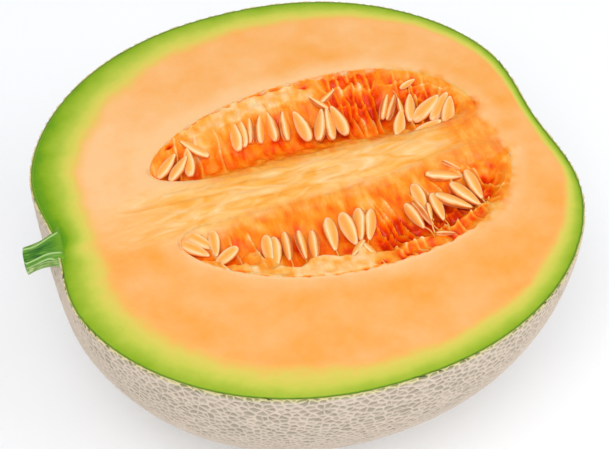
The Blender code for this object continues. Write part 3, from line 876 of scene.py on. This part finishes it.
class MELON_OT_flesh(bpy.types.Operator):
    """Builds the flesh with its green layer, core and the hollows for the seeds"""
    bl_idname = "melon.flesh"
    bl_label = "Flesh"

    def execute(self, context):
        settings = context.scene.melon_flesh
        flesh = place_piece("melon_flesh", *flesh_body())
        cut_out(flesh, [socket_cutter(side) for side in (1, -1)])
        points = mesh_points(flesh)
        x, y = points[:, 0], points[:, 1]
        flat = points * [1, 1, 0]
        top = points[:, 2] > -0.0001
        angle = np.degrees(np.arctan2(y, x)) % 360
        width = np.interp(angle, *zip(*GREEN_WIDTHS)) * settings.green_share
        width = width + 0.5 * ripple(flat, 0.022, 3)
        depth = depth_below_rind(flat) / MM
        away = distance_from_lobe(x, y) / MM
        core, pulp, tone, pale = inner_fields(points, 1.3)
        relief = core * 0.16 * ripple(flat * [0.3, 1, 1], 0.003, 8)
        relief += pulp * (0.30 * ripple(flat, 0.0028, 9) - 0.2)
        relief *= ease(away, -0.5, 2.0)
        between = (np.abs(y) < 0.020) & (x > -0.040) & (x < 0.058)
        relief -= core_sink(x / MM) * (1 - ease(away, -0.5, 4.5)) * between
        points[top, 2] += relief[top] * MM
        points[top, 2] = np.minimum(points[top, 2], 0.0003)
        move_points(flesh, points)
        greened = 0.32 * np.exp(-((x / MM + 78) ** 2) / 30 - (y / MM) ** 2 / 60)
        greened -= 0.20 * np.exp(-((x / MM + 73) ** 2) / 30 - (y / MM + 4) ** 2 / 8)
        skirt = points[:, 2] > -0.0030
        rim = (depth - SKIN_DEPTH / MM) / width
        rim = rim + (1 - ease(rim, 0.25, 1.0)) * np.interp(angle, *zip(*GREEN_TONES)) - greened
        rim = np.where(top | skirt, rim, 2.0)
        paint(flesh, rim=rim, core=core, pulp=pulp, tone=tone, pale=pale)
        flesh.data.materials.clear()
        flesh.data.materials.append(flesh_material(settings))
        smooth(flesh, 50)
        finish_piece(flesh, "flesh", "fruit_half")
        return {"FINISHED"}


def seed_places(side):
    """Where each seed lies, as (middle, heading, dip, roll, size), by the part's own rule."""
    draw = random.Random(SEED_DRAW)
    groups, dip = (SEEDS_LEFT, SEED_DIP_LEFT) if side > 0 else (SEEDS_RIGHT, SEED_DIP_RIGHT)
    for first, last, count, near, far, depth, start, end, roll, size in groups:
        spread = np.linspace((first, near, start), (last, far, end), count)
        for station, offset, heading in spread.tolist():
            x = station * MM + draw.uniform(-SEED_STRAY, SEED_STRAY)
            y = side * (offset * MM + draw.uniform(-SEED_STRAY, SEED_STRAY))
            middle = Vector((x, y, -depth * MM))
            heading = math.radians(heading + draw.uniform(-SEED_SWERVE, SEED_SWERVE))
            turn = math.radians(roll * draw.choice((-1, 1)) + draw.uniform(-SEED_SWERVE, SEED_SWERVE))
            yield middle, heading, math.radians(dip), turn, size


def rib_stations(side):
    """Where each rib of pulp crosses a lobe, in mm, and its lean, by the part's own rule."""
    draw = random.Random(SEED_DRAW + 1)
    groups = RIBS_LEFT if side > 0 else RIBS_RIGHT
    stations = np.concatenate([np.linspace(*group) for group in groups])
    return [(station, draw.uniform(RIB_LEAN_LEAST, RIB_LEAN_MOST)) for station in stations]


def pulp_surface(side):
    """The wet bed of a lobe: its points, faces, and how much its tone differs from the pulp round it."""
    columns, rows = 420, 126
    grow = 0.0006
    along = tip_to_tip(columns)
    across = np.linspace(-1, 1, rows + 1)
    u, v = np.meshgrid(along, across, indexing="ij")
    width = np.sqrt(np.maximum(1 - u**2, 0))
    swell = lobe_swell(u)
    share = v * width * swell
    x = LOBE_CENTRE_X + u * (LOBE_HALF_LENGTH + grow)
    y = lobe_middle(u, side) + share * (LOBE_HALF_WIDTH + grow)
    flat = as_points(x, side * y, 0 * x)
    xm = x / MM

    def noise(size, draw, stretch=(1, 1, 1)):
        return ripple(flat * stretch, size, draw + 40 * (side + 1)).reshape(x.shape)

    # A smooth fall from the core, a floor, and a wall that the seeds lie against, up to the rim.
    inside = ease(v, -1.0, -0.72)
    fallen, wall_start, share_of_depth = (-0.30, -0.28, 1.0) if side > 0 else (0.22, 0.30, 0.72)
    fall = ease(v + 0.05 * noise(0.008, 1), -1.0, fallen)
    wall = 1 - ease(v + 0.05 * noise(0.006, 2), wall_start, 0.66)
    floor = share_of_depth * BOWL_DEPTH / MM
    deep = floor * fall * wall * width**0.6
    blossom = ease(xm, 34, 48)
    shallow = 1 - (0.55 + 0.35 * blossom) * ease(v, 0.70, 0.95) - 0.6 * blossom * (1 - ease(v, -1, -0.5))
    lip = core_sink(xm) - 0.03
    depth = lip + (SHELF_DEPTH / MM - lip) * inside * shallow + deep
    depth += inside * (0.26 * noise(0.0045, 3) + 0.15 * noise(0.0021, 4, (1, 0.35, 1)))
    # Painted shade: the tone darkens where the bed is deep, over the deeper orange of thick jelly there.
    # A band part way across the lobe is darker too.
    tone = -0.20 * deep / floor * inside + 0.08 * noise(0.005, 5) * inside
    tone -= 0.13 * bell(v - 0.30, 0.16) * width
    tone += 0.03 * noise(0.0022, 12, (1, 0.4, 1)) * inside

    # The pale membrane on the shelf hides the tips of the row of seeds.
    last = 13.0 if side > 0 else 8.0
    strip = ease(xm + 1.5 * noise(0.006, 14), -33, -28)
    strip *= 1 - ease(xm + 1.5 * noise(0.006, 15), last - 2, last + 2)
    ragged = 0.10 * noise(0.0070, 6) + 0.03 * noise(0.0030, 16)
    shelf = ease(v + ragged, 0.46, 0.56) * strip
    lump = bell(xm + 22, 5.0) * ease(v + ragged, 0.0, 0.3)
    shelf = np.maximum(shelf, 0.75 * lump)
    skin = 0.32 + 0.14 * noise(0.0050, 7) + 0.04 * noise(0.0018, 17) + 0.5 * lump
    skin = skin + (0.02 - skin) * ease(v, 0.80, 0.95)
    depth = depth + (skin - depth) * shelf
    tone = tone * (1 - shelf) + shelf * (0.19 + 0.07 * noise(0.004, 18) - 0.10 * lump)
    tone += 0.12 * ease(v, 0.86, 0.95) * strip

    # Ribs stand between red pockets, with a bridge half way up. The pockets are sunk and darkened: the
    # red of thick jelly, deepened by painted shade in each hollow.
    bare = np.zeros_like(x)
    for station, lean in rib_stations(side):
        centre = station + (lean / MM + RIB_SLANT[side] * ease(xm, -10, 10)) * (v - 0.2)
        centre = centre + 0.30 * noise(0.006, 8)
        thick = 0.46 + 0.12 * noise(0.004, 19)
        rib = bell(xm - centre, thick) * ease(v, -0.75, -0.2)
        bare = np.maximum(bare, bell(xm - centre, 3.0))
        depth -= rib * (0.9 + 0.42 * deep) * (1 - 0.8 * shelf)
        tone += rib * 0.52 * (1 - shelf)
    level = v - 0.07 * noise(0.005, 20)
    bridge = bell(level - 0.58, 0.05) + 0.6 * bell(level - 0.22, 0.05)
    pocket = bare * ease(v, -0.25, 0.05) * (1 - ease(v, 0.93, 0.99)) * (1 - shelf) * ease(xm, 8, 16)
    pocket *= 1 - 0.8 * bridge
    depth += pocket * (1.8 + 0.5 * noise(0.004, 9))
    tone -= pocket * 0.52

    # Small dark pockets right at the rim, and a few large ones, as (x in mm, across, size in mm). Each
    # is sunk and darkened: the deeper orange of its jelly, with painted shade in the hollow.
    dents = [
        (place + math.sin(place * 2.7 + side), 0.948 + 0.014 * math.sin(place * 1.7), 0.85)
        for place in range(-27, 16, 3)]
    for place, level, size in dents + list(RIM_POCKETS[side]):
        dent = bell(xm - place, size) * bell(v - level, 0.032 * size)
        depth += dent * 1.1
        tone -= dent * 0.66

    # Grainy orange pulp at the blossom end.
    grainy = ease(xm, 36, 48)
    depth += grainy * inside * 0.35 * noise(0.0017, 10)
    tone += grainy * (0.08 * noise(0.0026, 11) + 0.05)
    # The pocket round the fan of seeds at the stem end has a dark lip.
    tone -= 0.26 * ease(-u, 0.95, 1.0) + 0.20 * ease(np.abs(v), 0.90, 1.0) * ease(-u, 0.70, 0.85)
    tone -= 0.12 * ease(-u, 0.66, 0.80)

    # At the blossom end the bed rises to the flesh with no step.
    reach = np.sqrt(u**2 + (v * width) ** 2)
    rise = blossom * ease(reach, 0.80, 0.985)
    depth = depth * (1 - rise) - 0.04 * rise
    tone = tone * (1 - 0.8 * rise)

    low_v = (v < -0.95) | (rise > 0.5)
    z = -np.where(low_v, depth, np.maximum(depth, 0.12)) * MM
    lowest = -LOBE_DEPTH * np.sqrt(np.maximum(width**2 * swell**2 - share**2, 0)) + 0.0008
    z = np.where(np.abs(v) > 0.93, np.maximum(z, -0.0030), np.maximum(z, lowest))
    top = as_points(x, side * y, z)

    rows_under = 8
    v_under = tip_to_tip(rows_under)[1:-1]
    share_under = v_under[None, :] * (width * swell)[:, :1]
    x_under = np.repeat(x[:, :1], len(v_under), 1)
    y_under = lobe_middle(u[:, :1], side) + share_under * (LOBE_HALF_WIDTH + grow)
    reach = (width * swell)[:, :1] ** 2 - share_under**2
    z_under = -LOBE_DEPTH * np.sqrt(np.maximum(reach, 0)) - 0.0004
    under = as_points(x_under, side * y_under, z_under)
    points = np.vstack([top, under])
    faces = []
    wide = rows + 1
    low = rows_under - 1
    base = len(top)
    for i in range(columns):
        for j in range(rows):
            a = i * wide + j
            faces.append((a, a + 1, a + wide + 1, a + wide))
        line, after = [
            [k * wide] + [base + k * low + j for j in range(low)] + [k * wide + rows]
            for k in (i, i + 1)]
        for j in range(rows_under):
            faces.append((line[j], after[j], after[j + 1], line[j + 1]))
    return points, faces, np.concatenate([tone.ravel(), np.full(len(under), -0.2)])


def strands(side):
    """Threads of pulp, from the tip of each seed in a row down to its root."""
    draw = random.Random(21 + side)
    parts = []
    for middle, heading, dip, _, size in seed_places(side):
        if abs(heading) > ROW_HEADING:
            continue
        pointing = Vector((math.sin(heading), side * math.cos(heading), 0.0))
        length = SEED_LENGTH * size
        near = middle + pointing * length * 0.40
        near.z += length * 0.40 * math.sin(dip)
        far = middle + pointing * (length / 2 + ROOT_LENGTH)
        far.z = -ROOT_DEPTH
        half = (near + far) / 2 + Vector((draw.uniform(-0.4, 0.4) * MM, 0, 0.3 * MM))
        path = curve_through([near, half, far], 9)
        parts.append(tube(path, np.linspace(0.17, 0.26, 9) * MM))
    return gather(parts)


def pulp_material(settings):
    """Placenta of the fruit, grown: wet jelly and threads, glossy and deep orange where it is thick, and
    darkened in its hollows by painted shade.
    """
    made, node = new_material("wet_seed_pulp")
    place = node("TexCoord")
    colour, grain = inside_colour(node, place, settings)
    bump = node("Bump", {"Height": grain, "Strength": 0.40, "Distance": 0.0005})
    shader = node("BsdfPrincipled", {
        "Base Color": colour, "Roughness": 0.34, "IOR": 1.36, "Specular IOR Level": 0.35,
        "Normal": bump, "Subsurface Weight": 0.35, "Subsurface Radius": (1.0, 0.4, 0.15),
        "Subsurface Scale": 0.0025})
    node("OutputMaterial", {"Surface": shader})
    return made


class MELON_OT_pulp(bpy.types.Operator):
    """Builds the wet pulp of both seed lobes"""
    bl_idname = "melon.pulp"
    bl_label = "Seed pulp"

    def execute(self, context):
        material = pulp_material(context.scene.melon_flesh)
        for side, word in ((1, "left"), (-1, "right")):
            points, faces, tones = pulp_surface(side)
            threads, thread_faces = strands(side)
            tree = KDTree(len(points) + len(threads))
            tones = np.concatenate([tones, np.full(len(threads), 0.06)])
            points, faces = gather([(points, faces), (threads, thread_faces)])
            for i, point in enumerate(points):
                tree.insert(point, i)
            tree.balance()
            pulp = place_piece(f"pulp_{word}", points, faces, [material], welded=1e-6)
            left = mesh_points(pulp)
            core, share, tone, pale = inner_fields(left)
            tone = tone + [tones[tree.find(point)[1]] for point in left]
            paint(pulp, core=core, pulp=share, tone=tone, pale=pale)
            smooth(pulp, 70)
            finish_piece(pulp, "seed_pulp", f"seed_lobe_{word}")
        return {"FINISHED"}


def seed_shape(size, fullness):
    """One seed about its middle, with its tip towards +Y: points, faces and nearness to the margin."""
    rings, around = 20, 24
    t = tip_to_tip(rings)[1:-1]
    turn = full_turn(around)
    tt, aa = np.meshgrid(t, turn, indexing="ij")
    taper = 1 - SEED_TAPER * tt - SEED_ROUNDING * tt**2
    width = np.sqrt(1 - tt**2) * taper * SLIMNESS * SEED_WIDTH / 2 * size
    middle = np.abs(np.cos(aa))
    lens = np.sqrt(np.maximum(1 - middle**2, 0)) ** 1.1
    lens *= 1 - 0.12 * bell(middle - 0.86, 0.08)
    height = (1 - tt**2) ** 0.42 * (1 - 0.30 * tt) * SEED_THICKNESS / 2 * size * fullness
    x = np.cos(aa) * width
    y = tt * SEED_LENGTH / 2 * size
    z = np.sign(np.sin(aa)) * lens * height
    points = as_points(x, y, z)
    ends = np.array([[0, -1, 0], [0, 1, 0]]) * SEED_LENGTH / 2 * size
    points = np.vstack([points, ends])
    faces = ring_faces(rings - 1, around, tips=(len(points) - 2, len(points) - 1))
    margin = np.maximum(middle, np.abs(tt) ** 3)
    return points, faces, np.concatenate([margin.ravel(), [1.0, 1.0]])


def seed_material(settings):
    """Fresh melon seed, grown: a smooth wet coat, warm in the middle and pale at its thin margin, with a
    painted highlight near the margin and a painted shadow along its very edge.
    """
    made, node = new_material("wet_melon_seed")
    place = node("TexCoord")
    margin = node("Attribute", attribute_name="margin")
    # Clouds in the coat, about 4 mm across.
    cloud = node("TexNoise", {"Vector": place, "Scale": 260.0, "Detail": 2.0})
    # Orange in the middle, then a near-white band towards the margin that is partly the seed's paler
    # thin margin and partly a painted highlight, then a dark orange edge that is painted shadow where
    # the seed meets the pulp.
    coat_highlight_and_edge_shade = node("ValToRGB", {"Fac": shifted_share(node, cloud, 0.24, margin, 0.12, 1.12)}, [
        (0.0, "#FA9E3C"), (0.28, "#FCAE50"), (0.52, "#FEC27C"), (0.72, "#FFE2B8"), (0.87, "#F8B060"),
        (0.96, "#D4640C"), (1.0, "#BC4C04")])
    colour = node("Mix", {"Factor": 0.20, 6: coat_highlight_and_edge_shade, 7: settings.seed_colour})
    shader = node("BsdfPrincipled", {
        "Base Color": colour, "Roughness": 0.26, "IOR": 1.44,
        "Subsurface Weight": 0.3, "Subsurface Radius": (1.0, 0.5, 0.25),
        "Subsurface Scale": 0.0015})
    node("OutputMaterial", {"Surface": shader})
    return made


class MELON_OT_seeds(bpy.types.Operator):
    """Lays the seeds in both lobes"""
    bl_idname = "melon.seeds"
    bl_label = "Seeds"

    def execute(self, context):
        settings = context.scene.melon_seeds
        material = seed_material(settings)
        for side, word in ((1, "left"), (-1, "right")):
            draw = random.Random(31 + side)
            parts = []
            margins = []
            for middle, heading, dip, roll, size in seed_places(side):
                size = size * draw.uniform(0.96, 1.02)
                points, faces, margin = seed_shape(size, settings.fullness)
                place = (
                    Matrix.Rotation(-side * heading, 3, "Z")
                    @ Matrix.Rotation(side * dip, 3, "X")
                    @ Matrix.Rotation(roll, 3, "Y")
                )
                points = points * [1, side, 1]
                parts.append((points @ np.array(place).T + np.array(middle), faces))
                margins.append(margin)
            points, faces = gather(parts)
            seeds = place_piece(f"seeds_{word}", points, faces, [material])
            paint(seeds, margin=np.concatenate(margins))
            smooth(seeds, 80)
            finish_piece(seeds, "seed", f"seed_lobe_{word}")
        return {"FINISHED"}


def stem_body():
    """The ribbed stub below the cut, with a raised lip along both edges of its cut face."""
    base = HALF_LENGTH - STEM_DIMPLE_DEPTH - STEM_ROOT
    length = STEM_LENGTH + STEM_ROOT
    rings, under, over = 30, 36, 24
    rounding, end_rings = 0.0007, 5
    hollow, sinking, lip_height = 0.0012, 0.0008, 0.0004
    points = []
    cut = []
    root = []
    for i in range(rings + end_rings):
        share = min(i / rings, 1.0)
        bend = math.pi / 2 * max(i - rings, 0) / (end_rings + 0.5)
        closing = math.cos(bend)
        past = rounding * math.sin(bend)
        flare = STEM_RADIUS + (STEM_BASE_RADIUS - STEM_RADIUS) * (1 - share) ** 3
        radius = flare * (1 + STEM_TIP_SWELL * share**4) * closing
        raised = float(ease(share, 0.20, 0.50))
        sunk = 1.0 - float(ease(share, 0.06, 0.16))
        fade = 1.0 - float(ease(share, 0.12, 0.50))
        for j in range(under + 1):
            turn = -math.pi * j / under
            ribbed = radius * (1 + STEM_RIB_HEIGHT * math.cos(STEM_RIBS * turn))
            y = ribbed * math.cos(turn)
            z = ribbed * math.sin(turn)
            if j in (0, under):
                z = -0.0001 - hollow * raised - sinking * sunk
            points.append((-base - share * length - past + 0.10 * y, y - STEM_DROOP * share, z))
            cut.append(0.0)
            root.append(fade)
        left = points[-1]
        right = points[-1 - under]
        for j in range(1, over):
            k = j / over
            edge = min(k, 1 - k) + 0.03 * math.sin(9 * share + 4 * round(k))
            lip = float(ease(share, 0.08, 0.22)) * math.exp(-((edge - 0.20) / 0.06) ** 2)
            slope = raised * float(1 - ease(edge, 0.0, 0.18))
            y = left[1] + (right[1] - left[1]) * k
            rise = 0.00015 + lip_height * lip - hollow * slope
            rise -= 0.0002 * raised * math.sin(math.pi * k) ** 2
            points.append((left[0] + (right[0] - left[0]) * k, y, rise * closing - sinking * sunk))
            # The cut value is lowest on each lip's top and on the slope outside it, where the material
            # paints a highlight and a shade.
            cut.append((1.0 - 0.6 * lip) * (1.0 - 0.9 * slope))
            root.append(fade * (1.0 - 0.8 * lip))
    return np.array(points), ring_faces(rings + end_rings, under + over, capped=True), cut, root


def stem_material():
    """Melon stem, cut while fresh: dull ribbed green skin, and a moist darker green cut face whose
    raised lips carry a painted highlight, with painted shade on the slope outside them.
    """
    made, node = new_material("fresh_melon_stem")
    place = node("TexCoord")
    cut = node("Attribute", attribute_name="cut")
    # Fibres run along the stem: about 0.7 mm wide.
    stretched = node("Mapping", {"Vector": place, "Scale": (260.0, 1500.0, 1500.0)})
    fibre = node("TexNoise", {"Vector": stretched, "Scale": 1.0, "Detail": 3.0})
    root = node("Attribute", attribute_name="root")
    outside = node("ValToRGB", {"Fac": fibre}, [
        (0.3, "#50782A"), (0.5, "#88AA5A"), (0.7, "#C2D2A0")])
    streak = node("ValToRGB", {"Fac": fibre}, [
        (0.30, "#174A0E"), (0.45, "#2E6A14"), (0.60, "#4F8A20"), (0.78, "#8DB648")])
    # Painted light on the lips: pale green as a painted highlight on each lip's top, and dark green on
    # the slope outside it, partly the stem's own darker shoulder and partly painted shade.
    lip_highlight_and_shade = node("ValToRGB", {"Fac": cut}, [
        (0.10, "#3F6A1C"), (0.28, "#5A882A"), (0.42, "#B8D88C"), (0.62, "#5E902C")])
    face = node("Mix", {
        "Factor": node("MapRange", {"Value": cut, "From Min": 0.55, "From Max": 0.95}),
        6: lip_highlight_and_shade, 7: streak})
    is_cut = node("MapRange", {"Value": cut, "From Min": 0.02, "From Max": 0.12})
    plain = node("Mix", {"Factor": is_cut, 6: outside, 7: face})
    colour = node("Mix", {"Factor": root, 6: plain, 7: linear("#6C9E12")})
    bump = node("Bump", {"Height": fibre, "Strength": 0.5, "Distance": 0.0004})
    shader = node("BsdfPrincipled", {
        "Base Color": colour, "Roughness": 0.5, "IOR": 1.40, "Normal": bump,
        "Subsurface Weight": 0.25, "Subsurface Radius": (0.5, 1.0, 0.2),
        "Subsurface Scale": 0.002})
    node("OutputMaterial", {"Surface": shader})
    return made


class MELON_OT_stem(bpy.types.Operator):
    """Builds the halved stub of stem"""
    bl_idname = "melon.stem"
    bl_label = "Stem"

    def execute(self, context):
        points, faces, cut, root = stem_body()
        stem = place_piece("stem", points, faces, [stem_material()])
        paint(stem, cut=cut, root=root)
        smooth(stem, 60)
        finish_piece(stem, "stem", "stem_stub")
        return {"FINISHED"}


def floor_material(settings):
    """Studio table top, sprayed matt white: an even pale surface with no gloss."""
    made, node = new_material("matt_white_table")
    shader = node("BsdfPrincipled", {
        "Base Color": settings.floor_colour, "Roughness": 0.9,
        "Specular IOR Level": 0.2})
    node("OutputMaterial", {"Surface": shader})
    return made


def add_light(name, place, size, power):
    """A square soft light at a place, turned to the middle of the fruit."""
    light = bpy.data.lights.new(name, "AREA")
    light.shape = "SQUARE"
    light.size = size
    light.energy = power
    made = bpy.data.objects.new(name, light)
    made.location = place
    made.rotation_euler = (Vector((0, 0, 0.05)) - Vector(place)).to_track_quat("-Z", "Y").to_euler()
    bpy.context.scene.collection.objects.link(made)


class MELON_OT_stage(bpy.types.Operator):
    """Sets the floor, the soft lights and the camera"""
    bl_idname = "melon.stage"
    bl_label = "Stage"

    def execute(self, context):
        settings = context.scene.melon_stage
        scene = context.scene
        mesh = bpy.data.meshes.new("floor")
        square = Matrix.Scale(FLOOR_REACH, 3)
        corners = [square @ Vector((x, y, 0)) for x, y in ((-1, -1), (1, -1), (1, 1), (-1, 1))]
        mesh.from_pydata(corners, [], [(0, 1, 2, 3)])
        mesh.materials.append(floor_material(settings))
        floor = bpy.data.objects.new("floor", mesh)
        scene.collection.objects.link(floor)
        floor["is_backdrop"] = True

        world = bpy.data.worlds.new("studio_room")
        world.use_nodes = True
        room = world.node_tree.nodes["Background"]
        room.inputs["Color"].default_value = linear("#FFFFFF")
        room.inputs["Strength"].default_value = settings.soft_light
        scene.world = world
        add_light("key_softbox", (-0.5, -0.8, 1.5), size=1.1, power=17.0)
        add_light("fill_softbox", (1.1, -0.8, 0.9), size=1.2, power=7.0)

        across = math.radians(CAMERA_ACROSS)
        up = math.radians(CAMERA_UP)
        back = Vector((math.sin(across) * math.cos(up), -math.cos(across) * math.cos(up), math.sin(up)))
        right = Vector((math.cos(across), math.sin(across), 0.0))
        top = back.cross(right)
        turn = Matrix((right, top, back)).transposed().to_4x4()
        camera = bpy.data.objects.new("camera", bpy.data.cameras.new("camera"))
        place = Vector(LOOK_AT) + back * CAMERA_DISTANCE
        camera.matrix_world = Matrix.Translation(place) @ turn
        camera.data.sensor_fit = "HORIZONTAL"
        camera.data.sensor_width = CAMERA_SENSOR
        camera.data.lens = CAMERA_LENS
        camera.data.clip_start = 0.01
        scene.collection.objects.link(camera)
        scene.camera = camera
        scene.view_settings.view_transform = "Standard"
        return {"FINISHED"}


class MELON_PT_panel(bpy.types.Panel):
    """Lists what builds the melon and its stage"""
    bl_idname = "MELON_PT_panel"
    bl_label = "Netted melon half"
    bl_space_type = "VIEW_3D"
    bl_region_type = "UI"
    bl_category = "Melon"

    def draw(self, context):
        scene = context.scene
        column = self.layout.column()
        for group, names, operators in (
            (scene.melon_rind, ("cell_width", "cord_width", "net_height", "cord_colour", "skin_colour"),
             ("melon.rind",)),
            (scene.melon_flesh, ("flesh_colour", "pale_colour", "green_share"), ("melon.flesh",)),
            (scene.melon_seeds, ("fullness", "seed_colour"), ("melon.pulp", "melon.seeds")),
            (scene.melon_stage, ("floor_colour", "soft_light"), ("melon.stem", "melon.stage")),
        ):
            for name in names:
                column.prop(group, name)
            for operator in operators:
                column.operator(operator)


CLASSES = (
    MelonRind, MelonFlesh, MelonSeeds, MelonStage, MELON_OT_rind, MELON_OT_flesh, MELON_OT_pulp,
    MELON_OT_seeds, MELON_OT_stem, MELON_OT_stage, MELON_PT_panel,
)
SETTINGS = (
    ("melon_rind", MelonRind), ("melon_flesh", MelonFlesh), ("melon_seeds", MelonSeeds),
    ("melon_stage", MelonStage),
)


def register():
    for item in CLASSES:
        bpy.utils.register_class(item)
    for name, group in SETTINGS:
        setattr(bpy.types.Scene, name, bpy.props.PointerProperty(type=group))


def unregister():
    for name, _ in SETTINGS:
        delattr(bpy.types.Scene, name)
    for item in reversed(CLASSES):
        bpy.utils.unregister_class(item)


def main():
    register()
    bpy.ops.melon.rind()
    bpy.ops.melon.flesh()
    bpy.ops.melon.pulp()
    bpy.ops.melon.seeds()
    bpy.ops.melon.stem()
    bpy.ops.melon.stage()
    boxes = {"cad": CAD_BOX, "visual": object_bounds()}
    plain = {name: [[float(v) for v in corner] for corner in box] for name, box in boxes.items()}


if __name__ == "__main__":
    main()
